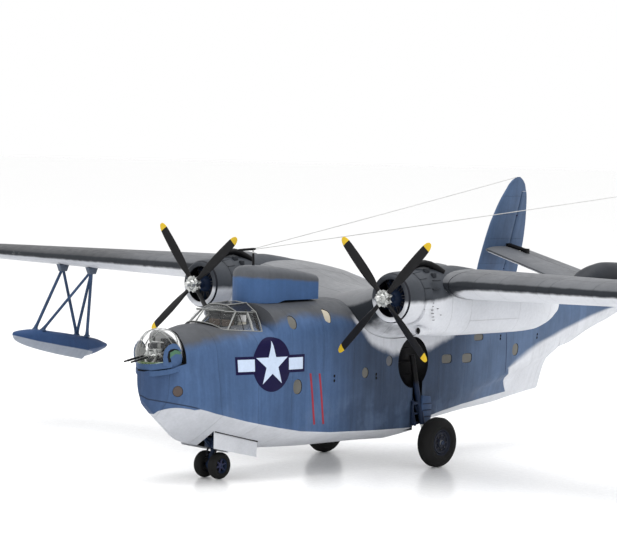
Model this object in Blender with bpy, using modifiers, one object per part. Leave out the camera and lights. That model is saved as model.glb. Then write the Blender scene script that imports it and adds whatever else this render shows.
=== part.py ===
"""A 1:72 scale model of a twin-engined gull-winged amphibious flying boat, standing on its wheels.

Sizes are millimetres of the model. x runs to the port side, a station runs aft from the front of
the nose turret, and z runs up from the floor. at() turns them into Blender's metres, with the
origin on the floor under the middle of the model and the nose towards -Y.
"""

import math

import bmesh
import bpy
from mathutils import Matrix, Vector

MM = 0.001
GUN_TIP_STATION = -6.5
TAIL_STATION = 338.0
MID_STATION = (GUN_TIP_STATION + TAIL_STATION) / 2
GAP = 0.3
SHARP_ANGLE = math.radians(30.0)
SIDES = (("port", 1), ("starboard", -1))

HALF_SPAN = 250.0
GULL_BREAK_X = 62.0
ENGINE_X = 50.7
ENGINE_Z = 69.8
PROPELLER_STATION = 76.0
PROPELLER_RADIUS = 30.7
BLADE_ANGLES = {"port": 0.774, "starboard": 0.689}
# Blade sections: radius, half chord, half thickness, pitch in degrees.
BLADE_SECTIONS = (
    (2.7, 0.9, 0.9, 30.0), (6.0, 1.0, 0.85, 26.0), (10.0, 1.6, 0.62, 20.0), (16.0, 1.9, 0.5, 15.0),
    (23.0, 1.85, 0.4, 12.0), (28.0, 1.65, 0.3, 10.0), (29.9, 1.2, 0.22, 9.0),
    (PROPELLER_RADIUS, 0.6, 0.15, 9.0),
)

MAIN_WHEEL_X = 30.3
MAIN_WHEEL_STATION = 134.0
MAIN_WHEEL_RADIUS = 9.9
MAIN_TYRE_WIDTH = 6.6
NOSE_WHEEL_X = 3.75
NOSE_WHEEL_STATION = 38.0
NOSE_WHEEL_RADIUS = 5.1
NOSE_TYRE_WIDTH = 3.8
NOSE_DOOR_X = 7.4
NOSE_DOOR_THICKNESS = 0.6

BALL_STATION = 9.3
BALL_Z = 48.7
BALL_RADIUS = 9.2
TURRET_BELT_Z = 44.43
# The bow's tip stays under the gun barrels when they point down.
GUN_DIP_Z = 43.1
CHEEK_RADIUS = 10.3
# Outline of a turret cheek, seen from its side, as (station, z).
CHEEK_OUTLINE = (
    (3.7, 44.5), (3.4, 47.6), (3.6, 49.8), (4.4, 51.2), (5.7, 52.3), (7.4, 52.8), (9.0, 52.4), (10.3, 51.2),
    (11.2, 49.6), (11.5, 47.0), (11.5, 44.5),
)
DORSAL_STATION = 196.0
DORSAL_RADIUS = 6.4
DORSAL_CROWN_Z = 67.5
TAIL_BALL_STATION = 326.5
TAIL_BALL_Z = 64.6
TAIL_BALL_RADIUS = 6.2

FLOAT_X = 168.0
# Float rings: station, deck z, keel z, half width, chine z.
FLOAT_RINGS = (
    (82.0, 42.4, 40.0, 0.8, 41.2), (85.0, 43.0, 37.8, 2.6, 40.4), (92.0, 43.4, 35.4, 4.4, 38.8),
    (106.0, 41.8, 32.0, 5.2, 36.2), (122.0, 39.4, 28.9, 5.0, 33.4), (122.4, 39.4, 29.8, 4.9, 33.6),
    (130.0, 37.8, 31.4, 3.8, 34.2), (136.0, 35.6, 33.4, 1.6, 34.6),
)
STABILIZER_DIHEDRAL = math.radians(15.0)
STABILIZER_ROOT_Z = 65.6
# Stabilizer sections: distance out, leading edge station, trailing edge station.
STABILIZER_SECTIONS = ((0.0, 268.0, 305.0), (30.0, 270.5, 303.4), (58.1, 272.4, 302.0))
STABILIZER_HALF_THICKNESS = 1.7
FIN_CANT = math.radians(11.7)
# Tail fairing rings: station, half width, top z.
TAIL_FAIRING_RINGS = (
    (264.0, 1.6, 71.0), (266.0, 3.6, 72.2), (270.0, 5.4, 74.6), (277.0, 6.4, 76.8), (285.0, 6.6, 77.9),
    (295.0, 6.2, 77.6), (303.0, 4.6, 75.4), (308.0, 2.0, 72.2),
)
TAIL_FAIRING_BASE_Z = 70.6

# Lines of the hull: (station, value) pairs, faired between them.
KEEL_Z = (
    (0.0, 32.8), (0.7, 31.4), (2.2, 29.7), (6.5, 25.7), (12.0, 21.2), (19.0, 15.9), (30.0, 12.9),
    (45.0, 11.1), (62.3, 10.0), (90.0, 9.2), (110.0, 9.2), (134.7, 8.7),
)
AFT_KEEL_Z = (
    (134.9, 12.2), (166.4, 15.3), (183.7, 17.4), (203.8, 19.3), (217.5, 21.4), (231.5, 23.3),
    (236.4, 23.8), (236.9, 31.0), (238.1, 35.4), (240.1, 37.5), (243.6, 39.6), (252.2, 42.7),
    (259.4, 45.6), (266.7, 48.0), (274.1, 49.9), (286.1, 53.4), (300.0, 56.4), (312.0, 58.6), (321.0, 59.8),
)
CHINE_X = (
    (0.0, 0.6), (0.8, 1.1), (1.8, 2.0), (4.0, 3.8), (7.7, 7.2), (13.9, 12.6), (20.0, 16.8), (26.7, 19.3),
    (50.5, 21.0), (134.7, 21.0), (138.9, 21.0), (148.8, 20.0), (164.3, 18.0), (184.9, 13.0),
    (206.1, 8.0), (230.0, 2.6), (236.4, 1.3), (236.9, 1.4), (238.1, 1.8), (240.1, 2.6), (243.6, 3.8),
    (254.0, 6.0), (291.6, 4.8), (321.0, 3.4),
)
CHINE_Z = (
    (0.0, 33.4), (1.8, 32.1), (7.7, 30.9), (13.9, 29.5), (20.0, 27.7), (26.7, 25.2), (50.5, 20.1),
    (80.7, 16.3), (107.0, 15.4), (134.7, 15.0),
)
AFT_CHINE_Z = (
    (134.9, 18.2), (148.8, 20.4), (164.3, 22.2), (184.9, 23.3), (206.1, 24.3), (236.4, 24.9),
    (236.9, 32.2), (238.1, 36.3), (243.6, 40.4), (254.0, 44.0), (266.7, 48.8), (280.0, 52.5),
    (291.6, 56.0), (321.0, 60.6),
)
LOW_SIDE_X = (
    (0.0, 1.1), (0.8, 1.8), (1.8, 2.7), (4.0, 4.6), (7.7, 7.9), (13.9, 13.4), (20.0, 16.6), (26.7, 18.6),
    (50.5, 20.6), (134.7, 20.9), (150.0, 20.4), (170.0, 18.8), (206.0, 15.6), (238.0, 12.4),
    (291.6, 7.6), (321.0, 5.2),
)
LOW_SIDE_RISE = (
    (0.0, 1.2), (13.9, 2.4), (50.5, 2.0), (134.7, 1.6), (150.0, 3.0), (184.9, 8.0), (206.0, 11.0),
    (225.0, 15.6), (236.4, 18.4), (236.9, 11.0), (238.1, 7.0), (240.1, 5.4), (243.6, 4.2), (254.0, 3.8),
    (291.6, 2.4), (321.0, 1.8),
)
SIDE_X = (
    (0.0, 1.9), (0.8, 2.4), (1.8, 3.2), (4.0, 5.2), (7.0, 7.9), (11.0, 10.2), (13.5, 10.8),
    (20.0, 13.8), (30.0, 17.0), (40.0, 19.2), (50.0, 20.3), (70.0, 21.0), (150.0, 21.0),
    (170.0, 20.2), (206.0, 17.4), (240.0, 14.4), (291.6, 9.2), (321.0, 6.4),
)
SIDE_Z = ((0.0, 41.2), (20.0, 46.3), (60.0, 50.0), (170.0, 50.0), (240.0, 55.0), (321.0, 64.6))
CROWN_Z = (
    (0.0, 55.0), (12.0, 56.4), (18.5, 57.6), (24.4, 58.7), (50.6, 59.6), (51.4, 66.3),
    (100.0, 66.8), (170.0, 66.8), (240.0, 68.4), (267.0, 69.6), (305.0, 70.2), (321.0, 69.6),
)
HULL_STATIONS = (
    0.0, 0.8, 1.8, 4.0, 7.0, 11.0, 13.9, 20.0, 26.7, 34.0, 42.0, 50.6, 51.4, 62.0, 76.0, 92.0, 107.0,
    121.0, 134.7, 134.9, 149.0, 164.0, 185.0, 206.0, 225.0, 236.4, 236.9, 238.1, 240.1, 243.6, 252.2,
    262.0, 274.0, 291.6, 306.0, 321.0,
)
FOREBODY_END = 134.8
KEEL_HALF_WIDTH = 1.2
SIDE_BULGE = 0.25

# The hull is hollow behind the wheels, as a moulded one is, so that it rests on its nose wheels.
HULL_HOLLOWS = (
    ("cutter_hollow_centre", (-14.0, 141.0, 29.0), (14.0, 163.0, 58.0)),
    ("cutter_hollow_waist", (-12.0, 162.0, 33.0), (12.0, 190.0, 62.0)),
    ("cutter_hollow_boom", (-8.0, 189.0, 38.3), (8.0, 230.0, 61.0)),
)

# Wing sections: distance out, leading edge station, chord, chord line z, height above, depth below.
WING_SECTIONS = (
    (0.0, 95.0, 74.0, 60.5, 8.6, 9.4),
    (13.0, 95.6, 73.0, 60.8, 10.6, 9.5),
    (21.0, 96.6, 71.5, 62.4, 11.3, 10.9),
    (26.0, 97.4, 70.2, 65.0, 10.2, 9.6),
    (34.0, 98.2, 68.6, 68.8, 8.6, 7.6),
    (44.0, 98.9, 67.0, 72.0, 6.8, 6.3),
    (52.0, 99.2, 66.0, 74.0, 6.0, 6.0),
    (62.0, 99.6, 64.6, 74.8, 5.5, 5.8),
)
OUTER_TIP = (240.0, 111.0, 33.0, 75.0, 3.1, 3.0)
AIRFOIL_STEPS = (0.0, 0.012, 0.05, 0.12, 0.22, 0.34, 0.5, 0.68, 0.85, 1.0)
TRAILING_EDGE = 0.35

# Nacelle rings: station, top z, bottom z, half width.
NACELLE_RINGS = (
    (88.9, 79.9, 59.6, 9.9),
    (91.5, 80.4, 57.6, 10.0),
    (96.0, 81.0, 55.6, 10.0),
    (104.0, 81.6, 54.8, 10.0),
    (114.0, 81.6, 54.6, 10.0),
    (126.0, 80.4, 54.6, 9.8),
    (140.0, 77.8, 54.6, 9.5),
    (154.0, 75.2, 54.7, 9.0),
    (164.0, 73.8, 55.2, 8.2),
    (171.0, 72.5, 56.8, 7.0),
    (177.0, 70.9, 59.2, 5.2),
    (181.0, 68.6, 62.4, 2.8),
)
BELLY_SQUARENESS = 2.6
# Scoop rings: station, top z, half width, bottom z.
SCOOP_RINGS = (
    (90.5, 81.4, 1.2, 81.0), (92.0, 82.6, 2.0, 81.1), (95.0, 83.6, 2.6, 81.3), (99.0, 84.0, 2.8, 81.6),
    (104.0, 83.7, 2.6, 82.0), (109.0, 83.2, 2.0, 82.1), (112.0, 82.8, 1.0, 82.2),
)

# Radome rings: station, half width, top z.
RADOME_RINGS = (
    (50.7, 1.3, 74.0), (51.2, 3.3, 76.2), (52.0, 4.8, 78.2), (53.5, 6.6, 79.6), (55.5, 7.9, 80.1),
    (58.8, 8.8, 80.2), (66.0, 8.9, 79.7), (75.6, 8.7, 78.6), (86.0, 8.3, 76.9),
)
RADOME_BASE_Z = 67.1
RADOME_WALL_SHARE = 0.68

# Port half of the canopy: rows from the foot of the windscreen to the aft arch, each from the middle out.
CANOPY_ROWS = (
    ((0.0, 27.6, 59.9), (3.6, 28.3, 59.8), (6.6, 29.6, 59.3), (8.7, 30.7, 58.7), (10.1, 31.7, 58.1)),
    ((0.0, 31.6, 63.9), (4.4, 32.4, 63.9), (7.4, 35.4, 63.5), (9.4, 34.6, 60.8), (11.4, 33.2, 57.8)),
    ((0.0, 39.3, 65.6), (4.4, 39.3, 65.3), (9.0, 39.6, 63.4), (11.4, 39.2, 60.5), (13.4, 38.8, 57.5)),
    ((0.0, 48.6, 66.5), (5.0, 49.4, 66.0), (9.2, 49.9, 62.8), (12.4, 49.0, 59.9), (15.6, 47.2, 57.2)),
)

# Fin outline: z, leading edge station, trailing edge station, with the rudder below its tip.
FIN_OUTLINE = (
    (63.0, 276.5, 298.5),
    (66.5, 273.2, 301.0),
    (71.5, 271.7, 301.7),
    (83.2, 273.0, 302.0),
    (93.0, 274.9, 301.1),
    (98.2, 276.7, 300.1),
    (103.8, 279.0, 298.8),
    (108.4, 281.6, 297.2),
    (109.0, 282.0, 296.7),
    (111.4, 283.4, 295.4),
    (113.2, 285.0, 293.7),
    (114.5, 287.0, 291.8),
    (115.1, 288.6, 290.6),
)
RUDDER_TOP_Z = 108.4
FIN_HALF_THICKNESS = 1.35
FIN_SKIN = 0.2
HINGE_STATION = 290.2
HINGE_BASE_Z = 72.0
HINGE_RAKE = 0.09
FIN_X_AT_DECK = 62.3
FIN_X_BASE_Z = 71.5

collections = {}


def at(x, station, z):
    """The place x to port, station aft of the nose and z up, in metres."""
    return Vector((x * MM, (station - MID_STATION) * MM, z * MM))


def clear_scene():
    for obj in list(bpy.data.objects):
        bpy.data.objects.remove(obj, do_unlink=True)


def make_collections():
    for name in ("scale_model_flying_boat", "cutters"):
        collections[name] = bpy.data.collections.new(name)
        bpy.context.scene.collection.children.link(collections[name])


def material(name, colour, roughness=0.5, metallic=0.0, alpha=1.0):
    """A Principled material, made once."""
    made = bpy.data.materials.get(name)
    if made is None:
        made = bpy.data.materials.new(name)
        made.use_nodes = True
        shader = made.node_tree.nodes["Principled BSDF"]
        shader.inputs["Base Color"].default_value = (*colour, 1.0)
        shader.inputs["Roughness"].default_value = roughness
        shader.inputs["Metallic"].default_value = metallic
        shader.inputs["Alpha"].default_value = alpha
        made.diffuse_color = (*colour, alpha)
    return made


def sea_blue():
    return material("paint_intermediate_blue", (0.09, 0.18, 0.33), 0.6)


def dark_grey():
    return material("paint_dark_blue_grey", (0.07, 0.085, 0.10), 0.6)


def off_white():
    return material("paint_off_white", (0.78, 0.79, 0.82), 0.6)


def black_paint():
    return material("paint_black", (0.012, 0.012, 0.014), 0.5)


def gear_paint():
    return material("paint_navy", (0.03, 0.06, 0.13), 0.5)


def green_paint():
    return material("paint_interior_green", (0.10, 0.18, 0.07), 0.6)


def gun_metal():
    return material("paint_gun_metal", (0.05, 0.05, 0.055), 0.4, 0.6)


def silver_paint():
    return material("paint_silver", (0.72, 0.72, 0.72), 0.35, 0.7)


def rubber():
    return material("black_tyre", (0.012, 0.012, 0.013), 0.8)


def clear_plastic():
    return material("clear_plastic", (0.8, 0.85, 0.88), 0.05, 0.0, 0.35)


def new_object(name, bm, paint, location=(0.0, 0.0, 0.0)):
    """An object of the model, whose mesh is in metres around its location."""
    bmesh.ops.recalc_face_normals(bm, faces=bm.faces)
    mesh = bpy.data.meshes.new(name)
    bm.to_mesh(mesh)
    bm.free()
    mesh.shade_smooth()
    mesh.set_sharp_from_angle(angle=SHARP_ANGLE)
    obj = bpy.data.objects.new(name, mesh)
    obj.location = location
    mesh.materials.append(paint)
    collections["scale_model_flying_boat"].objects.link(obj)
    return obj


def as_cutter(obj):
    """Moves an object to the cutters, which are left out of the model."""
    collections["scale_model_flying_boat"].objects.unlink(obj)
    collections["cutters"].objects.link(obj)
    obj.hide_render = True
    obj.display_type = "WIRE"
    return obj


def boolean(obj, other, operation="DIFFERENCE"):
    modifier = obj.modifiers.new(operation.lower() + "_" + other.name, "BOOLEAN")
    modifier.operation = operation
    modifier.solver = "EXACT"
    modifier.object = other


def fair(pairs, position):
    """A smooth curve through (position, value) pairs that doesn't overshoot them."""
    if position <= pairs[0][0]:
        return pairs[0][1]
    if position >= pairs[-1][0]:
        return pairs[-1][1]
    slopes = [(b[1] - a[1]) / (b[0] - a[0]) for a, b in zip(pairs, pairs[1:])]
    tangents = [slopes[0]]
    for before, after in zip(slopes, slopes[1:]):
        tangents.append(0.0 if before * after <= 0.0 else 2.0 * before * after / (before + after))
    tangents.append(slopes[-1])
    index = max(i for i, pair in enumerate(pairs[:-1]) if pair[0] <= position)
    start, end = pairs[index], pairs[index + 1]
    width = end[0] - start[0]
    t = (position - start[0]) / width
    rest = 1.0 - t
    return (
        start[1] * (1.0 + 2.0 * t) * rest**2
        + end[1] * t**2 * (3.0 - 2.0 * t)
        + width * t * rest * (tangents[index] * rest - tangents[index + 1] * t)
    )


def loft(rings):
    """A closed mesh through rings that each have the same number of points."""
    bm = bmesh.new()
    loops = [[bm.verts.new(point) for point in ring] for ring in rings]
    for first, second in zip(loops, loops[1:]):
        for i, vertex in enumerate(first):
            j = (i + 1) % len(first)
            bm.faces.new((vertex, first[j], second[j], second[i]))
    bm.faces.new(loops[0])
    bm.faces.new(reversed(loops[-1]))
    bmesh.ops.triangulate(bm, faces=bm.faces)
    return bm


def turned(name, profile, paint, location, axis="Y", segments=24):
    """A closed profile of (radius, distance along the axis) turned about an axis through location."""
    bm = bmesh.new()
    points = [bm.verts.new((radius * MM, 0.0, -along * MM)) for radius, along in profile]
    for i, point in enumerate(points):
        if i + 1 < len(points):
            bm.edges.new((point, points[i + 1]))
        elif profile[0][0] > 0.0:
            bm.edges.new((point, points[0]))
    bmesh.ops.spin(
        bm, geom=list(bm.verts) + list(bm.edges), cent=(0.0, 0.0, 0.0), axis=(0.0, 0.0, 1.0),
        angle=2.0 * math.pi, steps=segments, use_merge=True,
    )
    bmesh.ops.remove_doubles(bm, verts=bm.verts, dist=1e-6)
    turn = {"X": Matrix.Rotation(-math.pi / 2, 4, "Y"), "Y": Matrix.Rotation(math.pi / 2, 4, "X"),
            "Z": Matrix.Rotation(math.pi, 4, "X")}[axis]
    bmesh.ops.transform(bm, matrix=turn, verts=bm.verts)
    return new_object(name, bm, paint, location)


def box(name, low, high, paint):
    """A box between two corners given as (x, station, z)."""
    bm = bmesh.new()
    bmesh.ops.create_cube(bm, size=1.0)
    first, second = at(*low), at(*high)
    bmesh.ops.scale(bm, vec=second - first, verts=bm.verts)
    return new_object(name, bm, paint, (first + second) / 2)


def rod(name, start, end, radius, paint, sides=10):
    """A round rod between two points given as (x, station, z)."""
    first, second = at(*start), at(*end)
    along = second - first
    bm = bmesh.new()
    bmesh.ops.create_cone(
        bm, cap_ends=True, segments=sides, radius1=radius * MM, radius2=radius * MM, depth=along.length
    )
    turn = along.to_track_quat("Z", "Y").to_matrix().to_4x4()
    bmesh.ops.transform(bm, matrix=turn, verts=bm.verts)
    return new_object(name, bm, paint, (first + second) / 2)


def ball(name, centre, radius, paint, segments=24):
    bm = bmesh.new()
    bmesh.ops.create_uvsphere(bm, u_segments=segments, v_segments=segments // 2, radius=radius * MM)
    return new_object(name, bm, paint, at(*centre))


def plate(name, outline, x, thickness, paint):
    """A flat plate in a plane of constant x, from an outline of (station, z)."""
    bm = bmesh.new()
    sides = [[bm.verts.new(at(x + side * thickness / 2, s, z)) for s, z in outline] for side in (-1, 1)]
    for i in range(len(outline)):
        j = (i + 1) % len(outline)
        bm.faces.new((sides[0][i], sides[0][j], sides[1][j], sides[1][i]))
    bm.faces.new(sides[0])
    bm.faces.new(reversed(sides[1]))
    return new_object(name, bm, paint)


def joined(first, others):
    """Makes one body of pieces that overlap."""
    for other in others:
        boolean(first, as_cutter(other), "UNION")


def hull_ring(station):
    """The points around the hull at a station, from the keel up the port side and down the other."""
    aft = station > FOREBODY_END
    keel_z = fair(AFT_KEEL_Z if aft else KEEL_Z, station)
    chine_z = fair(AFT_CHINE_Z if aft else CHINE_Z, station)
    chine_x = fair(CHINE_X, station)
    low_x = fair(LOW_SIDE_X, station)
    low_z = chine_z + fair(LOW_SIDE_RISE, station)
    side_x = fair(SIDE_X, station)
    side_z = max(fair(SIDE_Z, station), low_z + 1.5)
    crown_z = fair(CROWN_Z, station)
    roundness = 2.2 if station < 50.0 else 2.7
    keel_x = min(KEEL_HALF_WIDTH, 0.6 * chine_x)
    out, up = (0.5, 0.5) if chine_x > low_x - 2.0 else (0.35, 0.62)
    middle_x = chine_x + out * (low_x - chine_x)
    middle_z = chine_z + up * (low_z - chine_z)
    half = [
        (keel_x, keel_z),
        (keel_x + 0.55 * (chine_x - keel_x), keel_z + 0.52 * (chine_z - keel_z)),
        (chine_x, chine_z),
        (middle_x, middle_z),
        (low_x, low_z),
        ((low_x + side_x) / 2 + SIDE_BULGE, (low_z + side_z) / 2),
        (side_x, side_z),
    ]
    for step in range(1, 7):
        angle = math.radians(90.0 * step / 6)
        half.append((
            side_x * max(math.cos(angle), 0.0) ** (2 / roundness),
            side_z + (crown_z - side_z) * math.sin(angle) ** (2 / roundness),
        ))
    half[-1] = (0.0, crown_z)
    port = [at(x, station, z) for x, z in half]
    starboard = [at(-x, station, z) for x, z in reversed(half[:-1])]
    return port + starboard


def make_hull():
    hull = new_object("hull", loft([hull_ring(station) for station in HULL_STATIONS]), sea_blue())
    nose_ball = (0, BALL_STATION, BALL_Z)
    tail_ball = (0, TAIL_BALL_STATION, TAIL_BALL_Z)
    cutters = [
        box("cutter_turret_front", (-20, -5, TURRET_BELT_Z), (20, 11.9, 70), sea_blue()),
        box("cutter_gun_dip", (-3.4, -5, GUN_DIP_Z), (3.4, 1.8, 70), sea_blue()),
        ball("cutter_turret_pocket", nose_ball, BALL_RADIUS + GAP, sea_blue(), 20),
        ball("cutter_tail_pocket", tail_ball, TAIL_BALL_RADIUS + GAP, sea_blue(), 18),
        box("cutter_cockpit", (-8.9, 29.4, 48.1), (8.9, 46.8, 75.0), sea_blue()),
        box("cutter_nose_bay", (-6.4, 29.0, 5.0), (6.4, 52.0, 22.0), sea_blue()),
    ]
    for name, low, high in HULL_HOLLOWS:
        cutters.append(box(name, low, high, sea_blue()))
    for side in (1, -1):
        bay = ball(f"cutter_main_bay_{side}", (side * 21.5, 129.0, 41.3), 1.0, sea_blue(), 16)
        bay.scale = (6.0, 9.25, 10.25)
        slot_ends = ((side * 16.5, 128.8, 12.0), (side * 24.0, 134.8, 36.0))
        slot = box(f"cutter_main_slot_{side}", *slot_ends, sea_blue())
        cutters += [bay, slot]
    for cutter in cutters:
        boolean(hull, as_cutter(cutter))
    return hull


def hull_underside(x, station):
    """Height of the forebody's bottom between its keel and its chine."""
    keel_z, chine_z = fair(KEEL_Z, station), fair(CHINE_Z, station)
    share = (x - KEEL_HALF_WIDTH) / (0.55 * (fair(CHINE_X, station) - KEEL_HALF_WIDTH))
    return keel_z + 0.52 * share * (chine_z - keel_z)


def airfoil_half(t):
    """Height of the usual four-digit section at a share t of its chord, as a share of its greatest."""
    return 10.0 * (0.2969 * math.sqrt(t) - 0.1260 * t - 0.3516 * t**2 + 0.2843 * t**3 - 0.1036 * t**4)


def wing_ring(section, grow=0.0, side=1):
    """The points around a wing section; grow swells it for a cutter."""
    x, leading, chord, z, above, below = section
    points = []
    rear = chord + 2 * grow
    for fraction in AIRFOIL_STEPS:
        height = airfoil_half(fraction) * (above + grow) + TRAILING_EDGE * fraction + grow * fraction
        points.append(at(side * x, leading - grow + fraction * rear, z + height))
    for fraction in reversed(AIRFOIL_STEPS[1:]):
        depth = airfoil_half(fraction) * (below + grow) + TRAILING_EDGE * fraction + grow * fraction
        points.append(at(side * x, leading - grow + fraction * rear, z - depth))
    return points


def both_sides(sections):
    """Sections from the starboard tip to the port tip, from those of the port half."""
    return [(-section[0], *section[1:]) for section in reversed(sections[1:])] + list(sections)


def make_wing_centre():
    """Makes the gull bend, and returns the cutter of its seats in the hull and the nacelles."""
    sections = both_sides(WING_SECTIONS)
    new_object("wing_centre", loft([wing_ring(s) for s in sections]), dark_grey())
    seat = loft([wing_ring(s, GAP) for s in sections])
    return as_cutter(new_object("cutter_wing_seat", seat, dark_grey()))


def outer_section(x):
    root = WING_SECTIONS[-1]
    share = (x - root[0]) / (OUTER_TIP[0] - root[0])
    return (x, *(a + (b - a) * share for a, b in zip(root[1:], OUTER_TIP[1:])))


def wing_underside(x, station):
    """Height of the outer wing's lower surface."""
    _, leading, chord, z, _, below = outer_section(x)
    fraction = (station - leading) / chord
    return z - airfoil_half(fraction) * below - TRAILING_EDGE * fraction


def make_outer_wing(name, side):
    sections = []
    inner = GULL_BREAK_X + GAP
    for share in (0.0, 0.25, 0.5, 0.75, 1.0):
        sections.append(outer_section(inner + (OUTER_TIP[0] - inner) * share))
    for out, shrink in ((245.6, 0.86), (248.8, 0.62), (HALF_SPAN, 0.34)):
        x, leading, chord, z, above, below = outer_section(out)
        leading += 0.48 * chord * (1.0 - shrink)
        sections.append((x, leading, chord * shrink, z, above * shrink, below * shrink))
    new_object(name, loft([wing_ring(section, side=side) for section in sections]), dark_grey())


def make_nacelle(side_name, side, wing_cutter):
    rings = []
    for station, top, bottom, half_width in NACELLE_RINGS:
        middle = ENGINE_Z if bottom < ENGINE_Z < top else (top + bottom) / 2
        ring = []
        for step in range(18):
            angle = 2 * math.pi * step / 18
            across, up = math.cos(angle), math.sin(angle)
            power = 2 / (2.0 if up > 0 else BELLY_SQUARENESS)
            reach = (top - middle) if up > 0 else (middle - bottom)
            ring.append(at(
                side * ENGINE_X + half_width * math.copysign(abs(across) ** power, across),
                station,
                middle + reach * math.copysign(abs(up) ** power, up),
            ))
        rings.append(ring)
    boolean(new_object(f"nacelle_{side_name}", loft(rings), sea_blue()), wing_cutter)


def make_cowl(side_name, side):
    profile = (
        (7.2, -3.4), (7.7, -3.8), (8.4, -3.9), (9.1, -3.4), (9.6, -2.2), (9.9, -0.5), (10.1, 2.6),
        (9.9, 5.2), (9.5, 5.2), (9.3, 0.0), (8.6, -2.0), (7.4, -3.0),
    )
    turned(f"cowl_{side_name}", profile, dark_grey(), at(side * ENGINE_X, 83.2, ENGINE_Z), "Y", 26)


def make_engine(side_name, side):
    """Crankcase and nose case with a ring of cylinders, as one body."""
    centre_station = 85.2
    crankcase = turned(
        f"engine_{side_name}",
        ((0.0, -6.6), (1.5, -6.6), (1.9, -4.6), (3.4, -2.6), (3.6, 2.6), (8.7, 2.6), (8.7, 3.4), (0.0, 3.4)),
        gear_paint(), at(side * ENGINE_X, centre_station, ENGINE_Z), "Y", 18,
    )
    cylinders = []
    for index in range(9):
        angle = 2 * math.pi * index / 9 + math.pi / 2
        start = (side * ENGINE_X + 2.0 * math.cos(angle), centre_station, ENGINE_Z + 2.0 * math.sin(angle))
        end = (side * ENGINE_X + 8.2 * math.cos(angle), centre_station, ENGINE_Z + 8.2 * math.sin(angle))
        cylinders.append(rod(f"cutter_cylinder_{side_name}_{index}", start, end, 1.25, gear_paint(), 6))
    joined(crankcase, cylinders)


def blade(turn_about_axis):
    """One twisted blade around the propeller's centre."""
    rings = []
    for radius, half_chord, half_depth, pitch in BLADE_SECTIONS:
        lean = math.radians(pitch)
        ring = []
        for step in range(8):
            angle = 2 * math.pi * step / 8
            u = half_chord * math.cos(angle)
            v = half_depth * math.sin(angle)
            across = v * math.cos(lean) - u * math.sin(lean)
            ring.append(Vector((radius, across, u * math.cos(lean) + v * math.sin(lean))) * MM)
        rings.append(ring)
    bm = loft(rings)
    bmesh.ops.transform(bm, matrix=Matrix.Rotation(-turn_about_axis, 4, "Y"), verts=bm.verts)
    return bm


def make_propeller(side_name, side):
    """A spinner with a bored back, and four blades fused into one body."""
    axis = at(side * ENGINE_X, PROPELLER_STATION, ENGINE_Z)
    turned(
        f"propeller_hub_{side_name}",
        ((0.0, -4.6), (0.9, -4.4), (1.5, -3.4), (1.7, -1.6), (2.3, -1.4), (2.3, 1.5), (1.5, 2.3),
         (0.0, 2.3)),
        silver_paint(), axis, "Y", 16,
    )
    collar = turned(
        f"propeller_blades_{side_name}",
        ((2.6, -1.1), (3.5, -1.1), (3.5, 1.1), (2.6, 1.1)), black_paint(), axis, "Y", 24,
    )
    blades = []
    for index in range(4):
        bm = blade(BLADE_ANGLES[side_name] + index * math.pi / 2)
        blades.append(new_object(f"cutter_blade_{side_name}_{index}", bm, black_paint(), axis))
    joined(collar, blades)


def make_intake_scoop(side_name, side):
    """The curved black scoop on top of the nacelle."""
    base = side * ENGINE_X
    rings = []
    for station, top, half_width, low in SCOOP_RINGS:
        ring = []
        for step in range(7):
            angle = math.pi * step / 6
            z = low + (top - low) * math.sin(angle)
            ring.append(at(base + half_width * math.cos(angle), station, z))
        rings.append(ring)
    new_object(f"intake_scoop_{side_name}", loft(rings), black_paint())


def make_radome():
    """The fairing behind the cockpit: a round front, upright sides and a flat back."""
    rings = []
    for station, half_width, top in RADOME_RINGS:
        shoulder = RADOME_BASE_Z + RADOME_WALL_SHARE * (top - RADOME_BASE_Z)
        half = [(half_width, RADOME_BASE_Z), (half_width, shoulder)]
        for step in range(1, 6):
            angle = math.radians(90 * step / 5)
            across, up = math.cos(angle) ** 0.7, math.sin(angle) ** 0.7
            half.append((half_width * across, shoulder + (top - shoulder) * up))
        half[-1] = (0.0, top)
        other = [at(-x, station, z) for x, z in reversed(half[:-1])]
        rings.append([at(x, station, z) for x, z in half] + other)
    new_object("radome", loft(rings), sea_blue())


def make_canopy():
    """Half of the glazing as an open sheet, mirrored and given its thickness."""
    bm = bmesh.new()
    grid = [[bm.verts.new(at(*point)) for point in row] for row in CANOPY_ROWS]
    for first, second in zip(grid, grid[1:]):
        for i in range(len(first) - 1):
            bm.faces.new((first[i], first[i + 1], second[i + 1], second[i]))
    canopy = new_object("canopy", bm, clear_plastic())
    mirror = canopy.modifiers.new("mirror", "MIRROR")
    mirror.merge_threshold = 0.00005
    shell = canopy.modifiers.new("shell", "SOLIDIFY")
    shell.thickness = 0.5 * MM
    shell.offset = -1.0


def make_cockpit():
    """Floor, two seats and the instrument coaming as one moulding."""
    floor = box("cockpit_interior", (-8.6, 29.7, 48.4), (8.6, 46.5, 50.0), green_paint())
    pieces = []
    for side in (1, -1):
        middle = side * 4.6
        seat = ((middle - 2.6, 37.0, 49.5), (middle + 2.6, 42.0, 52.5))
        back = ((middle - 2.5, 41.5, 49.6), (middle + 2.5, 42.8, 59.0))
        pieces.append(box(f"cutter_seat_{side}", *seat, green_paint()))
        pieces.append(box(f"cutter_back_{side}", *back, green_paint()))
    pieces.append(box("cutter_panel", (-8.2, 29.9, 49.6), (8.2, 31.4, 56.6), green_paint()))
    joined(floor, pieces)


def make_mast():
    """The probe mast on the fairing: an upright with a fore and aft head."""
    upright = rod("mast", (0, 57.9, 80.5), (0, 57.6, 86.4), 0.5, black_paint())
    head = rod("cutter_mast_head", (0, 49.2, 86.1), (0, 58.8, 86.4), 0.45, black_paint())
    joined(upright, [head])


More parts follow.
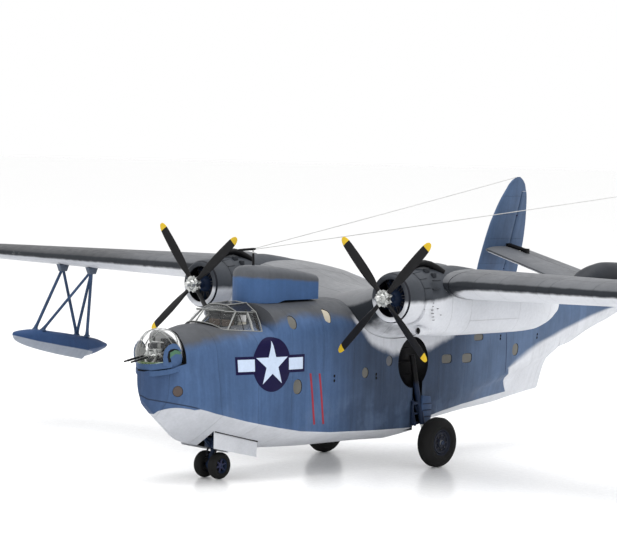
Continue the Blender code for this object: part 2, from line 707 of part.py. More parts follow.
def stabilizer_ring(x, leading, trailing, grow=0.0):
    z = STABILIZER_ROOT_Z + abs(x) * math.tan(STABILIZER_DIHEDRAL)
    half = STABILIZER_HALF_THICKNESS
    return wing_ring((x, leading, trailing - leading, z, half, half), grow)


def make_stabilizer():
    """Makes the stabilizer, and returns the cutter of its seat in the hull."""
    sections = both_sides(STABILIZER_SECTIONS)
    new_object("stabilizer", loft([stabilizer_ring(*s) for s in sections]), dark_grey())
    seat = loft([stabilizer_ring(*s, GAP) for s in sections])
    return as_cutter(new_object("cutter_stabilizer_seat", seat, dark_grey()))


def make_tail_fairing():
    rings = []
    for station, half_width, top in TAIL_FAIRING_RINGS:
        ring = []
        for step in range(9):
            angle = math.pi * step / 8
            height = (top - TAIL_FAIRING_BASE_Z) * math.sin(angle)
            ring.append(at(half_width * math.cos(angle), station, TAIL_FAIRING_BASE_Z + height))
        rings.append(ring)
    new_object("tail_fairing", loft(rings), dark_grey())


def fin_x(z):
    return FIN_X_AT_DECK - (z - FIN_X_BASE_Z) * math.tan(FIN_CANT)


def hinge_line(z):
    return HINGE_STATION + (z - HINGE_BASE_Z) * HINGE_RAKE


def fin_half(station, leading, trailing):
    """Half thickness of the fin at a station, thickest a third of the way back."""
    share = min(max((station - leading) / (trailing - leading), 0.0), 1.0)
    return FIN_HALF_THICKNESS * airfoil_half(share) * min(1.0, (trailing - leading) / 20.0) + FIN_SKIN


def fin_rings(side, shares, rudder):
    """Rings up the fin to its hinge line and over its horn, or up the rudder behind it."""
    rings = []
    for z, leading, trailing in FIN_OUTLINE:
        if rudder and z > RUDDER_TOP_Z:
            break
        first, last = leading, trailing
        if rudder:
            z = min(z, RUDDER_TOP_Z - GAP)
            first = hinge_line(z) + GAP
        elif z <= RUDDER_TOP_Z:
            last = hinge_line(z)
        stations = [first + (last - first) * share for share in shares]
        halves = [fin_half(s, leading, trailing) for s in stations]
        middle = side * fin_x(z)
        ring = [at(middle + half, s, z) for s, half in zip(stations, halves)]
        ring += [at(middle - half, s, z) for s, half in zip(reversed(stations), reversed(halves))]
        rings.append(ring)
    return rings


def make_fin(side_name, side):
    new_object(f"fin_{side_name}", loft(fin_rings(side, (0.0, 0.06, 0.2, 0.5, 1.0), False)), sea_blue())
    new_object(f"rudder_{side_name}", loft(fin_rings(side, (0.0, 0.5, 1.0), True)), sea_blue())


def make_float(side_name, side):
    rings = []
    for station, deck, keel, half_width, chine in FLOAT_RINGS:
        half = ((0.3, keel), (half_width, chine), (half_width * 0.95, chine + 0.45 * (deck - chine)),
                (half_width * 0.6, chine + 0.85 * (deck - chine)), (half_width * 0.25, deck))
        port = [at(side * FLOAT_X + x, station, z) for x, z in half]
        rings.append(port + [at(side * FLOAT_X - x, station, z) for x, z in reversed(half)])
    new_object(f"float_{side_name}", loft(rings), sea_blue())


def make_float_struts(side_name, side):
    """Two inverted V frames and a brace, which meet on two pads under the wing."""
    outer_pad = (side * 171.0, 112.5, 70.2)
    inner_pad = (side * 152.4, 113.0, 69.6)
    front_outer = (side * 170.0, 96.0, 43.7)
    front_inner = (side * 166.2, 97.2, 43.5)
    rear_outer = (side * 170.0, 120.6, 40.4)
    rear_inner = (side * 165.8, 123.0, 40.0)
    runs = (
        (front_outer, outer_pad), (rear_outer, outer_pad), (front_inner, inner_pad),
        (rear_inner, inner_pad), (rear_outer, inner_pad),
    )
    rods = [rod(f"cutter_strut_{side_name}_{i}", a, b, 0.75, sea_blue(), 8) for i, (a, b) in enumerate(runs)]
    frame = rods.pop(0)
    frame.name = f"float_struts_{side_name}"
    tie = rod(f"cutter_strut_tie_{side_name}", front_outer, front_inner, 0.7, sea_blue(), 8)
    pads = []
    for name, (x, station, z) in (("outer", outer_pad), ("inner", inner_pad)):
        low = (x - side * 1.4, station - 2.4, z - 0.9)
        high = (x + side * 1.4, station + 2.4, wing_underside(abs(x), station - 2.4) - GAP)
        high = (*high[:2], min(high[2], wing_underside(abs(x), station + 2.4) - GAP))
        pads.append(box(f"cutter_strut_pad_{name}_{side_name}", low, high, sea_blue()))
    joined(frame, rods + [tie] + pads)


def make_main_wheel(side_name, side):
    axis = at(side * MAIN_WHEEL_X, MAIN_WHEEL_STATION, MAIN_WHEEL_RADIUS)
    half = MAIN_TYRE_WIDTH / 2
    outer = MAIN_WHEEL_RADIUS
    tyre_profile = (
        (5.4, -half + 0.6), (6.6, -half), (8.4, -half + 0.3), (9.5, -half + 1.3), (outer, -1.0),
        (outer, 1.0), (9.5, half - 1.3), (8.4, half - 0.3), (6.6, half), (5.4, half - 0.6),
    )
    turned(f"main_tyre_{side_name}", tyre_profile, rubber(), axis, "X", 28)
    hub_profile = (
        (1.2, -2.2), (3.6, -2.0), (5.0, -2.6), (5.1, -2.6), (5.1, 2.6), (5.0, 2.6), (3.6, 2.0), (1.2, 2.2),
    )
    turned(f"main_hub_{side_name}", hub_profile, gear_paint(), axis, "X", 20)


def make_main_leg(side_name, side):
    """The strut in its slot, the offset arm and the stub axle, with the fairing panel fixed to it."""
    strut_top = (side * 18.6, 131.0, 44.0)
    strut_foot = (side * 24.4, 133.8, MAIN_WHEEL_RADIUS - 1.2)
    axle_ends = [(side * x, MAIN_WHEEL_STATION, MAIN_WHEEL_RADIUS) for x in (24.6, 32.2)]
    brace_ends = ((side * 17.2, 130.4, 30.5), (side * 23.0, 133.0, 18.0))
    strut = rod(f"main_leg_{side_name}", strut_top, strut_foot, 1.3, gear_paint(), 12)
    axle = rod(f"cutter_axle_{side_name}", *axle_ends, 0.9, gear_paint(), 16)
    brace = rod(f"cutter_brace_{side_name}", *brace_ends, 0.8, gear_paint(), 8)
    panel_ends = ((side * 22.2, 127.5, 17.6), (side * 23.6, 138.6, 27.6))
    panel = box(f"cutter_panel_{side_name}", *panel_ends, gear_paint())
    joined(strut, [axle, brace, panel])


def make_nose_gear():
    half = NOSE_TYRE_WIDTH / 2
    outer = NOSE_WHEEL_RADIUS
    tyre_profile = (
        (2.9, -half + 0.3), (3.6, -half), (4.5, -half + 0.4), (outer, -0.7), (outer, 0.7), (4.5, half - 0.4),
        (3.6, half), (2.9, half - 0.3),
    )
    for side_name, side in SIDES:
        centre = at(side * NOSE_WHEEL_X, NOSE_WHEEL_STATION, NOSE_WHEEL_RADIUS)
        turned(f"nose_tyre_{side_name}", tyre_profile, rubber(), centre, "X", 20)
    turned(
        "nose_wheel_hubs",
        ((0.0, -5.2), (2.6, -5.2), (2.6, -2.2), (0.7, -2.0), (0.7, 2.0), (2.6, 2.2), (2.6, 5.2), (0.0, 5.2)),
        gear_paint(), at(0, NOSE_WHEEL_STATION, NOSE_WHEEL_RADIUS), "X", 20,
    )
    leg = rod("nose_leg", (0, 38.0, 7.0), (0, 39.6, 21.6), 1.0, gear_paint(), 12)
    eye = turned(
        "cutter_nose_eye", ((1.0, -1.4), (2.1, -1.4), (2.1, 1.4), (1.0, 1.4)), gear_paint(),
        at(0, NOSE_WHEEL_STATION, NOSE_WHEEL_RADIUS), "X", 16,
    )
    drag = rod("cutter_nose_drag", (0, 38.6, 10.5), (0, 31.0, 17.5), 0.8, gear_paint(), 8)
    joined(leg, [eye, drag])
    inner_face = NOSE_DOOR_X - NOSE_DOOR_THICKNESS / 2
    top = [(station, hull_underside(inner_face, station) - GAP) for station in (32.5, 42.0, 51.5)]
    for side_name, side in SIDES:
        outline = top + [(55.1, 7.1), (32.8, 10.8)]
        plate(f"nose_door_{side_name}", outline, side * NOSE_DOOR_X, NOSE_DOOR_THICKNESS, off_white())


def make_turret_cheek(side_name, side):
    """A patch of thin ball that hugs the turret and stands on the bow."""
    centre = (0, BALL_STATION, BALL_Z)
    cheek = plate(f"turret_cheek_{side_name}", CHEEK_OUTLINE, side * 8.5, 7.0, sea_blue())
    skin = as_cutter(ball(f"cutter_cheek_skin_{side_name}", centre, CHEEK_RADIUS, sea_blue(), 40))
    inside = as_cutter(ball(f"cutter_cheek_inside_{side_name}", centre, BALL_RADIUS + GAP, sea_blue(), 40))
    boolean(cheek, skin, "INTERSECT")
    boolean(cheek, inside)


def make_nose_turret():
    """A clear ball, open at the back, with slots for two guns that share one mount."""
    centre = (0, BALL_STATION, BALL_Z)
    dome = ball("nose_turret_dome", centre, BALL_RADIUS, clear_plastic(), 20)
    inside = as_cutter(ball("cutter_dome_inside", centre, BALL_RADIUS - 0.8, clear_plastic(), 16))
    back = as_cutter(box("cutter_dome_back", (-12, 14.0, 36), (12, 22, 62), clear_plastic()))
    boolean(dome, inside)
    boolean(dome, back)
    guns = []
    for side in (1, -1):
        x = side * 1.8
        slot = box(f"cutter_gun_slot_{side}", (x - 1.0, -2.0, 45.6), (x + 1.0, 3.0, 48.6), clear_plastic())
        boolean(dome, as_cutter(slot))
        barrel_ends = ((x, GUN_TIP_STATION, 46.0), (x, 4.0, 47.4))
        guns.append(rod(f"cutter_barrel_{side}", *barrel_ends, 0.55, gun_metal()))
        guns.append(box(f"cutter_receiver_{side}", (x - 0.8, 3.0, 46.3), (x + 0.8, 12.0, 48.9), gun_metal()))
    mount = box("nose_guns", (-3.6, 6.0, 45.6), (3.6, 9.0, 46.8), gun_metal())
    joined(mount, guns)


def make_dorsal_turret():
    crown = DORSAL_CROWN_Z
    centre = (0, DORSAL_STATION, crown + 1.2)
    turned(
        "dorsal_ring", ((5.6, -0.6), (7.4, -0.6), (7.2, 0.5), (5.6, 0.5)), sea_blue(),
        at(0, DORSAL_STATION, crown + 0.6), "Z", 28,
    )
    dome = ball("dorsal_turret_dome", centre, DORSAL_RADIUS, clear_plastic(), 20)
    base = as_cutter(box("cutter_dorsal_base", (-9, 186, crown - 8), (9, 206, crown + 1.5), clear_plastic()))
    boolean(dome, base)
    for side_name, side in SIDES:
        x = side * 2.2
        hole = rod(f"cutter_dorsal_slot_{side}", (x, 196.0, 70.6), (x, 212.0, 71.9), 0.9, clear_plastic())
        boolean(dome, as_cutter(hole))
        rod(f"dorsal_gun_{side_name}", (x, 196.4, 70.63), (x, 209.0, 71.66), 0.55, gun_metal())


def make_tail_turret():
    centre = (0, TAIL_BALL_STATION, TAIL_BALL_Z)
    dome = ball("tail_turret_dome", centre, TAIL_BALL_RADIUS, clear_plastic(), 18)
    for side_name, side in SIDES:
        x, z = side * 1.9, TAIL_BALL_Z
        hole = rod(f"cutter_tail_slot_{side}", (x, 325.0, z), (x, 340.0, z), 0.9, clear_plastic())
        boolean(dome, as_cutter(hole))
        rod(f"tail_gun_{side_name}", (x, 325.4, z), (x, TAIL_STATION, z), 0.55, gun_metal())


def main():
    clear_scene()
    make_collections()
    hull = make_hull()
    wing_cutter = make_wing_centre()
    boolean(hull, wing_cutter)
    boolean(hull, make_stabilizer())
    make_tail_fairing()
    make_radome()
    make_mast()
    make_canopy()
    make_cockpit()
    make_nose_turret()
    make_dorsal_turret()
    make_tail_turret()
    make_nose_gear()
    for side_name, side in SIDES:
        make_turret_cheek(side_name, side)
        make_outer_wing(f"wing_outer_{side_name}", side)
        make_nacelle(side_name, side, wing_cutter)
        make_cowl(side_name, side)
        make_engine(side_name, side)
        make_propeller(side_name, side)
        make_intake_scoop(side_name, side)
        make_fin(side_name, side)
        make_float(side_name, side)
        make_float_struts(side_name, side)
        make_main_wheel(side_name, side)
        make_main_leg(side_name, side)


main()
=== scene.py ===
"""The looks of the scale model flying boat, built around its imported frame.

Sizes are millimetres of the model, as in the CAD source: x runs to the port side, a station runs aft
from the front of the nose turret, and z runs up from the floor. at() turns them into metres.
"""
import math

import bmesh
import bpy
from mathutils import Matrix, Vector
from mathutils.bvhtree import BVHTree


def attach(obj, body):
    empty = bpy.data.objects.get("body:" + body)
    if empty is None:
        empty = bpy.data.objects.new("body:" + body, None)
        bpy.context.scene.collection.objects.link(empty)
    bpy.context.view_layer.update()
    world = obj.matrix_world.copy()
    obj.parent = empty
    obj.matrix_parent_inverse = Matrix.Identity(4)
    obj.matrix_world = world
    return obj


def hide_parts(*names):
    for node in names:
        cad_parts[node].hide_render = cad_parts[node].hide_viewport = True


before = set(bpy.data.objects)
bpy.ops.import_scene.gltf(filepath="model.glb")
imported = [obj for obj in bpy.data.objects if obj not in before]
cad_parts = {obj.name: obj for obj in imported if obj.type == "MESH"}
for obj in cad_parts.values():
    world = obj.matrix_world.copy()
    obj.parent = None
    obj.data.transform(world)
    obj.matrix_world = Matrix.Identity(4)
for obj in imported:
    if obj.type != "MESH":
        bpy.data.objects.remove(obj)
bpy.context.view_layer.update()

MM = 0.001
TINY = 1e-6
MID_STATION = 165.75
SIDES = (("port", 1), ("starboard", -1))


def at(x, station, z):
    """A point in metres from the millimetres that the tables are in."""
    return Vector((x * MM, (station - MID_STATION) * MM, z * MM))


# Materials
class Paint:
    """A Principled material, worked out in the model's own millimetres."""

    def __init__(self, name, roughness=0.5, metallic=0.0, **constants):
        self.material = bpy.data.materials.new(name)
        self.material.use_nodes = True
        self.tree = self.material.node_tree
        self.shader = self.tree.nodes["Principled BSDF"]
        self.shader.inputs["Metallic"].default_value = metallic
        self.shader.inputs["Specular IOR Level"].default_value = 0.12
        for key, value in constants.items():
            self.shader.inputs[key.replace("_", " ").title().replace("Ior", "IOR")].default_value = value
        coordinates = self.node("ShaderNodeTexCoord")
        self.place = self.node(
            "ShaderNodeVectorMath", {0: coordinates.outputs["Object"], 3: 1000.0}, operation="SCALE"
        ).outputs[0]
        parts = self.node("ShaderNodeSeparateXYZ", {0: self.place}).outputs
        self.x, self.z = parts[0], parts[2]
        self.out = self.math("ABSOLUTE", parts[0])
        self.station = self.math("ADD", parts[1], MID_STATION)
        self.facing = self.node("ShaderNodeSeparateXYZ", {0: coordinates.outputs["Normal"]}).outputs[2]
        self.roughness = roughness

    def node(self, kind, inputs=None, **settings):
        made = self.tree.nodes.new(kind)
        for key, value in settings.items():
            setattr(made, key, value)
        for key, value in (inputs or {}).items():
            if isinstance(value, bpy.types.NodeSocket):
                self.tree.links.new(value, made.inputs[key])
            else:
                made.inputs[key].default_value = value
        return made

    def math(self, operation, *values):
        return self.node("ShaderNodeMath", dict(enumerate(values)), operation=operation).outputs[0]

    def span(self, value, low, high, first=0.0, second=1.0, kind="SMOOTHSTEP"):
        """Runs from first to second as value runs from low to high."""
        return self.node(
            "ShaderNodeMapRange", {0: value, 1: low, 2: high, 3: first, 4: second}, interpolation_type=kind
        ).outputs[0]

    def noise(self, scale, detail=3.0, stretch=(1.0, 1.0, 1.0), roughness=0.55):
        """Noise of so many features a millimetre, pulled out along an axis by a small stretch."""
        place = self.node(
            "ShaderNodeVectorMath", {0: self.place, 1: stretch}, operation="MULTIPLY"
        ).outputs[0]
        return self.node(
            "ShaderNodeTexNoise", {"Vector": place, "Scale": scale, "Detail": detail, "Roughness": roughness}
        ).outputs[0]

    def colour(self, value):
        return value if isinstance(value, bpy.types.NodeSocket) else (*value, 1.0)

    def mix(self, share, first, second):
        return self.node(
            "ShaderNodeMix", {0: share, 6: self.colour(first), 7: self.colour(second)}, data_type="RGBA"
        ).outputs[2]

    def shade(self, colour, value):
        """The colour made lighter or darker by value."""
        return self.node("ShaderNodeHueSaturation", {"Value": value, "Color": self.colour(colour)}).outputs[0]

    def along(self, value, points):
        """A fair curve through (value, result) points."""
        low, high = points[0][0], points[-1][0]
        bottom = min(point[1] for point in points)
        top = max(point[1] for point in points) + TINY
        share = self.span(value, low, high, kind="LINEAR")
        made = self.node("ShaderNodeFloatCurve", {1: share})
        curve = made.mapping.curves[0]
        spots = [((a - low) / (high - low), (b - bottom) / (top - bottom)) for a, b in points]
        curve.points[0].location = spots[0]
        curve.points[1].location = spots[-1]
        for spot in spots[1:-1]:
            curve.points.new(*spot)
        for point in curve.points:
            point.handle_type = "VECTOR"
        made.mapping.update()
        return self.math("MULTIPLY_ADD", made.outputs[0], top - bottom, bottom)

    def near(self, value, width):
        """One where value is within width of nought."""
        return self.span(self.math("ABSOLUTE", value), 0.4 * width, width, 1.0, 0.0)

    def lines(self, value, places, width=0.16):
        total = 0.0
        for place in places:
            total = self.math("MAXIMUM", total, self.near(self.math("SUBTRACT", value, place), width))
        return total

    def every(self, value, step, start=0.0, width=0.16):
        wave = self.math("PINGPONG", self.math("SUBTRACT", value, start), step / 2)
        return self.near(wave, width)

    def aged(self, colour, mottle=0.12, streak=0.0):
        """The colour with soft blotches, fine specks and streaks that run down."""
        value = self.span(self.noise(0.06, 4.0), 0.3, 0.7, 1.0 - mottle, 1.0 + mottle, "LINEAR")
        value = self.math("MULTIPLY", value, self.span(self.noise(0.9, 3.0), 0.3, 0.7, 0.96, 1.04, "LINEAR"))
        if streak:
            run = self.noise(0.42, 3.0, (0.6, 1.0, 0.07), 0.6)
            value = self.math(
                "MULTIPLY", value, self.span(run, 0.3, 0.7, 1.0 - streak, 1.0 + streak, "LINEAR")
            )
        return self.shade(colour, value)

    def done(self, colour, relief=None, grain=0.012, spread=0.07):
        """Wires the colour, a varied roughness, and a bump of fine grain and of any relief."""
        self.tree.links.new(colour, self.shader.inputs["Base Color"])
        worn = self.span(
            self.noise(0.35, 4.0), 0.3, 0.7, self.roughness - spread, self.roughness + spread, "LINEAR"
        )
        self.tree.links.new(worn, self.shader.inputs["Roughness"])
        height = self.math("MULTIPLY", self.noise(2.2, 2.0), grain)
        if relief is not None:
            height = self.math("SUBTRACT", height, self.math("MULTIPLY", relief, 0.09))
        bump = self.node("ShaderNodeBump", {"Height": height, "Distance": MM})
        self.tree.links.new(bump.outputs[0], self.shader.inputs["Normal"])
        return self.material


BLUE = (0.046, 0.086, 0.176)
DARK = (0.025, 0.028, 0.034)
WHITE = (0.60, 0.615, 0.65)
NAVY = (0.012, 0.022, 0.050)
BLACK = (0.005, 0.005, 0.006)
SILVER = (0.50, 0.51, 0.50)
GREEN = (0.08, 0.13, 0.045)
YELLOW = (0.62, 0.42, 0.03)
RED = (0.26, 0.03, 0.045)
SHADOW_GREY = (0.02, 0.02, 0.022)


def plain_paint(
    name, colour, roughness=0.55, metallic=0.0, mottle=0.12, streak=0.0, grain=0.012, **constants
):
    paint = Paint(name, roughness, metallic, **constants)
    return paint.done(paint.aged(colour, mottle, streak), grain=grain)


CHINE_Z = (
    (0.0, 33.4), (1.8, 32.1), (7.7, 30.9), (13.9, 29.5), (20.0, 27.7), (26.7, 25.2), (50.5, 20.1),
    (80.7, 16.3), (107.0, 15.4), (134.7, 15.0),
)
TOP_LINE = (
    (0, 50.0), (14, 51.4), (21, 52.8), (29, 54.4), (37, 55.2), (49, 58.0), (60, 61.2), (70, 62.0), (76, 60.9),
    (85, 61.0), (92, 59.5), (100, 60.0), (170, 60.5), (240, 64.0), (330, 67.0),
)
LOW_LINE = (
    (0, 20.0), (5.9, 25.6), (6.1, 27.2), (6.8, 27.8), (7.9, 28.3), (9.0, 28.7), (10.2, 28.9), (11.4, 28.9),
    (12.8, 28.7), (14.1, 28.5), (15.8, 28.0), (16.4, 27.7), (16.5, 28.6), (18.2, 28.1), (19.8, 27.6),
    (21.7, 26.9), (26.9, 25.5), (35.7, 23.3), (44.9, 21.4), (52.0, 20.0), (64.3, 17.9), (80.7, 16.45),
    (107.0, 15.5), (134.7, 15.1), (134.9, 18.5), (148.8, 20.6), (164.3, 22.4), (184.9, 23.5), (206.1, 24.5),
    (236.4, 25.1), (330.0, 25.1),
)
# The off-white of the stern starts behind this line up the hull's side.
STERN_LINE = (
    (15.0, 212.0), (22.0, 207.0), (24.4, 205.0), (27.0, 202.0), (30.0, 199.0), (33.0, 196.8), (35.6, 196.0),
    (38.9, 203.6), (42.6, 211.7), (45.6, 220.2), (47.6, 229.0), (50.2, 238.1), (53.3, 251.6), (55.5, 261.1),
    (58.0, 275.0), (62.5, 321.0), (80.0, 500.0),
)
PATCH_LINE = (
    (0, 80), (90, 80), (93, 62), (95.3, 58.4), (98.1, 55.4), (103.8, 49.5), (109.9, 47.0), (117.6, 45.2),
    (128, 44.4), (139.6, 46.3), (147.5, 49.1), (153.3, 50.6), (158, 54), (162, 80), (330, 80),
)


def hull_paint():
    paint = Paint("hull_paint", 0.52)
    jitter = paint.span(paint.noise(0.25, 4.0), 0.25, 0.75, -0.6, 0.6, "LINEAR")
    height = paint.math("ADD", paint.z, jitter)
    # The blue is darker at the very bow, lighter behind it, darker from station 72 to 104 under the wing and
    # lighter again astern: these shifts along the hull are painted light and shade.
    blue = paint.mix(paint.span(paint.station, 0.0, 16.0), (0.035, 0.063, 0.132), (0.053, 0.098, 0.198))
    blue = paint.mix(paint.span(paint.station, 72.0, 104.0), blue, (0.037, 0.057, 0.100))
    blue = paint.mix(paint.span(paint.station, 140.0, 190.0), blue, (0.080, 0.122, 0.206))
    low = paint.span(paint.z, 24.0, 34.0, 1.0, 0.0)
    pale = paint.math("MULTIPLY", paint.span(paint.noise(0.09, 3.0), 0.45, 0.65), low)
    blue = paint.mix(paint.math("MULTIPLY", pale, 0.35), blue, (0.10, 0.15, 0.25))
    blue = paint.aged(blue, 0.13, 0.13)
    white = paint.mix(paint.span(paint.station, 22.0, 70.0), (0.44, 0.455, 0.49), WHITE)
    white = paint.aged(white, 0.07, 0.05)
    dark = paint.aged((0.060, 0.064, 0.072), 0.16, 0.05)
    gap = paint.math("SUBTRACT", paint.z, paint.along(paint.station, LOW_LINE))
    colour = paint.mix(paint.span(gap, -0.12, 0.12, 1.0, 0.0), blue, white)
    softness = paint.span(paint.z, 33.0, 40.0, 0.25, 5.0)
    astern = paint.math("SUBTRACT", paint.station, paint.along(paint.z, STERN_LINE))
    astern = paint.span(paint.math("DIVIDE", astern, softness), -1.0, 1.0)
    colour = paint.mix(astern, colour, white)
    patch = paint.math("SUBTRACT", height, paint.along(paint.station, PATCH_LINE))
    colour = paint.mix(paint.span(patch, -1.8, 2.0), colour, white)
    top = paint.math("SUBTRACT", height, paint.along(paint.station, TOP_LINE))
    colour = paint.mix(paint.span(top, -2.0, 2.0), colour, dark)
    seams = paint.every(paint.station, 17.3, 7.0)
    seams = paint.math("MAXIMUM", seams, paint.near(paint.x, 0.14))
    colour = paint.mix(paint.math("MULTIPLY", seams, 0.16), colour, (0.02, 0.025, 0.035))
    edge = paint.near(paint.math("SUBTRACT", paint.z, paint.along(paint.station, CHINE_Z)), 0.34)
    edge = paint.math("MULTIPLY", edge, paint.span(paint.station, 15.5, 17.0, 1.0, 0.0))
    colour = paint.mix(paint.math("MULTIPLY", edge, 0.8), colour, (0.012, 0.018, 0.035))
    return paint.done(colour, seams)


def wing_paint(name="wing_paint", panels=True):
    """Dark above and off-white below, with a soft edge just under the leading edge, painted shade on steep
    faces of the top and on the far wing, and with panels a painted highlight on the inner top.
    """
    paint = Paint(name, 0.46)
    jitter = paint.span(paint.noise(0.3, 4.0), 0.25, 0.75, -0.05, 0.05, "LINEAR")
    facing = paint.math("ADD", paint.facing, jitter)
    near_root = paint.span(paint.out, 61.0, 76.0, 0.28, 0.0)
    near_root = paint.math("MULTIPLY", near_root, paint.math("GREATER_THAN", paint.out, 60.5))
    inner = paint.span(paint.out, 60.0, 70.0, 0.24 if panels else 0.1, 0.0)
    share = paint.span(paint.math("ADD", paint.math("ADD", facing, near_root), inner), -0.64, -0.34)
    # Toward the starboard tip, from x -90 to -150, the top and the underside are darker: painted shade.
    far_wing_shading = paint.span(paint.x, -150.0, -90.0)
    top = paint.aged((0.108, 0.113, 0.123), 0.14)
    top = paint.mix(far_wing_shading, paint.aged((0.050, 0.052, 0.057), 0.14), top)
    # Inboard of x 50 to 64 the top is lighter: a painted highlight.
    if panels:
        top = paint.mix(
            paint.span(paint.out, 50.0, 64.0, 1.0, 0.0), top, paint.aged((0.165, 0.17, 0.18), 0.12)
        )
    # Where the top turns steeply away from upward, at the leading edge and tips, it is darker: painted shade.
    steep_face_shade = paint.aged((0.020, 0.023, 0.028), 0.12)
    top = paint.mix(paint.span(paint.math("ADD", facing, inner), 0.58, 0.80), steep_face_shade, top)
    white = paint.mix(far_wing_shading, paint.aged((0.42, 0.435, 0.47), 0.05), paint.aged(WHITE, 0.05))
    colour = paint.mix(share, white, top)
    seams = None
    if panels:
        front = paint.span(paint.out, 62.0, 240.0, 99.6, 111.0, "LINEAR")
        chord = paint.span(paint.out, 62.0, 240.0, 64.6, 33.0, "LINEAR")
        fraction = paint.math("DIVIDE", paint.math("SUBTRACT", paint.station, front), chord)
        ribs = paint.lines(paint.out, (30, 73.6, 84.8, 102, 107.5, 126, 144, 165, 186, 207, 228), 0.18)
        spars = paint.lines(paint.math("MULTIPLY", fraction, 60.0), (8.0, 22.0, 41.5), 0.2)
        seams = paint.math("MAXIMUM", ribs, spars)
        inked = paint.span(share, 0.0, 1.0, 0.14, 0.55, "LINEAR")
        colour = paint.mix(paint.math("MULTIPLY", seams, inked), colour, (0.015, 0.017, 0.02))
    return paint.done(colour, seams)


def nacelle_paint():
    paint = Paint("nacelle_paint", 0.46)
    jitter = paint.span(paint.noise(0.35, 4.0), 0.25, 0.75, -0.3, 0.3, "LINEAR")
    line = paint.along(
        paint.station, ((70, 68.7), (92, 68.6), (99, 69.4), (104, 70.4), (112, 72.5), (190, 74.0))
    )
    gap = paint.math("SUBTRACT", paint.math("ADD", paint.z, jitter), line)
    dark = paint.aged((0.044, 0.049, 0.058), 0.2)
    colour = paint.mix(paint.span(gap, -1.1, 1.1), paint.aged(WHITE, 0.06), dark)
    seams = paint.lines(paint.station, (88.6, 104.5, 116.3, 147.5, 170.0), 0.16)
    low = paint.math(
        "MULTIPLY", paint.lines(paint.z, (60.7,), 0.2), paint.math("GREATER_THAN", paint.station, 116.3)
    )
    low = paint.math("MULTIPLY", low, paint.math("LESS_THAN", paint.station, 147.5))
    seams = paint.math("MAXIMUM", seams, low)
    colour = paint.mix(paint.math("MULTIPLY", seams, 0.22), colour, (0.05, 0.05, 0.055))
    return paint.done(colour, seams)


def split_paint(name, line, soft, upper, lower):
    """One colour above a line along the stations and another below it."""
    paint = Paint(name, 0.5)
    jitter = paint.span(paint.noise(0.3, 3.0), 0.25, 0.75, -soft / 2, soft / 2, "LINEAR")
    gap = paint.math("SUBTRACT", paint.math("ADD", paint.z, jitter), paint.along(paint.station, line))
    colour = paint.mix(
        paint.span(gap, -soft, soft), paint.aged(lower, 0.08, 0.06), paint.aged(upper, 0.12, 0.06)
    )
    return paint.done(colour)


def fin_paint():
    paint = Paint("fin_paint", 0.5)
    blue = paint.aged((0.070, 0.113, 0.200), 0.14, 0.12)
    # Blotchy darkening below the tail plane, from z 84 down to 78, is painted shade.
    dark = paint.math(
        "MULTIPLY", paint.span(paint.z, 78.0, 84.0, 1.0, 0.0), paint.span(paint.noise(0.12), 0.4, 0.7)
    )
    blue = paint.mix(paint.math("MULTIPLY", dark, 0.5), blue, (0.045, 0.06, 0.10))
    seams = paint.lines(paint.z, (74.5, 86.0, 97.3, 106.0), 0.14)
    blue = paint.mix(paint.math("MULTIPLY", seams, 0.3), blue, (0.02, 0.03, 0.06))
    return paint.done(blue, seams)


def blade_paint(side):
    paint = Paint(f"blade_paint_{'port' if side > 0 else 'starboard'}", 0.42)
    across = paint.math("SUBTRACT", paint.x, side * ENGINE_X)
    up = paint.math("SUBTRACT", paint.z, ENGINE_Z)
    radius = paint.math(
        "SQRT", paint.math("ADD", paint.math("POWER", across, 2.0), paint.math("POWER", up, 2.0))
    )
    black = paint.aged((0.010, 0.010, 0.011), 0.25)
    tip = paint.aged(YELLOW, 0.06)
    return paint.done(paint.mix(paint.span(radius, 27.87, 28.03), black, tip), grain=0.02)


def leg_paint():
    """Blue below, and black as painted shade where the leg goes up into its well."""
    paint = Paint("gear_leg_well_shade_paint", 0.42)
    colour = paint.mix(paint.span(paint.z, 31.5, 34.0), paint.aged(NAVY, 0.3), paint.aged(BLACK, 0.1))
    return paint.done(colour)


def glass(name, alpha, rim):
    """Clear moulded plastic: a skin that is see-through face on and greyer where it turns away."""
    paint = Paint(name, 0.06)
    paint.shader.inputs["Specular IOR Level"].default_value = 0.18
    turned_away = paint.node("ShaderNodeLayerWeight", {"Blend": 0.5}).outputs["Facing"]
    cover = paint.span(paint.math("POWER", turned_away, 4.0), 0.0, 1.0, alpha, rim, "LINEAR")
    paint.tree.links.new(cover, paint.shader.inputs["Alpha"])
    colour = paint.aged((0.55, 0.57, 0.58), 0.03)
    return paint.done(colour, grain=0.002, spread=0.02)


ENGINE_X, ENGINE_Z = 50.7, 69.8
PROPELLER_STATION = 76.0

hull_skin_paint = hull_paint()
wing_skin_paint = wing_paint()
tail_plane_paint = wing_paint("tail_plane_paint", panels=False)
nacelle_skin_paint = nacelle_paint()
blue_paint = plain_paint("blue_paint", BLUE, 0.5, mottle=0.1, streak=0.06)
dark_paint = plain_paint("dark_top_paint", DARK, 0.45)
white_paint = plain_paint("off_white_paint", WHITE, 0.5, mottle=0.06)
navy_paint = plain_paint("gear_navy", NAVY, 0.42, mottle=0.3)
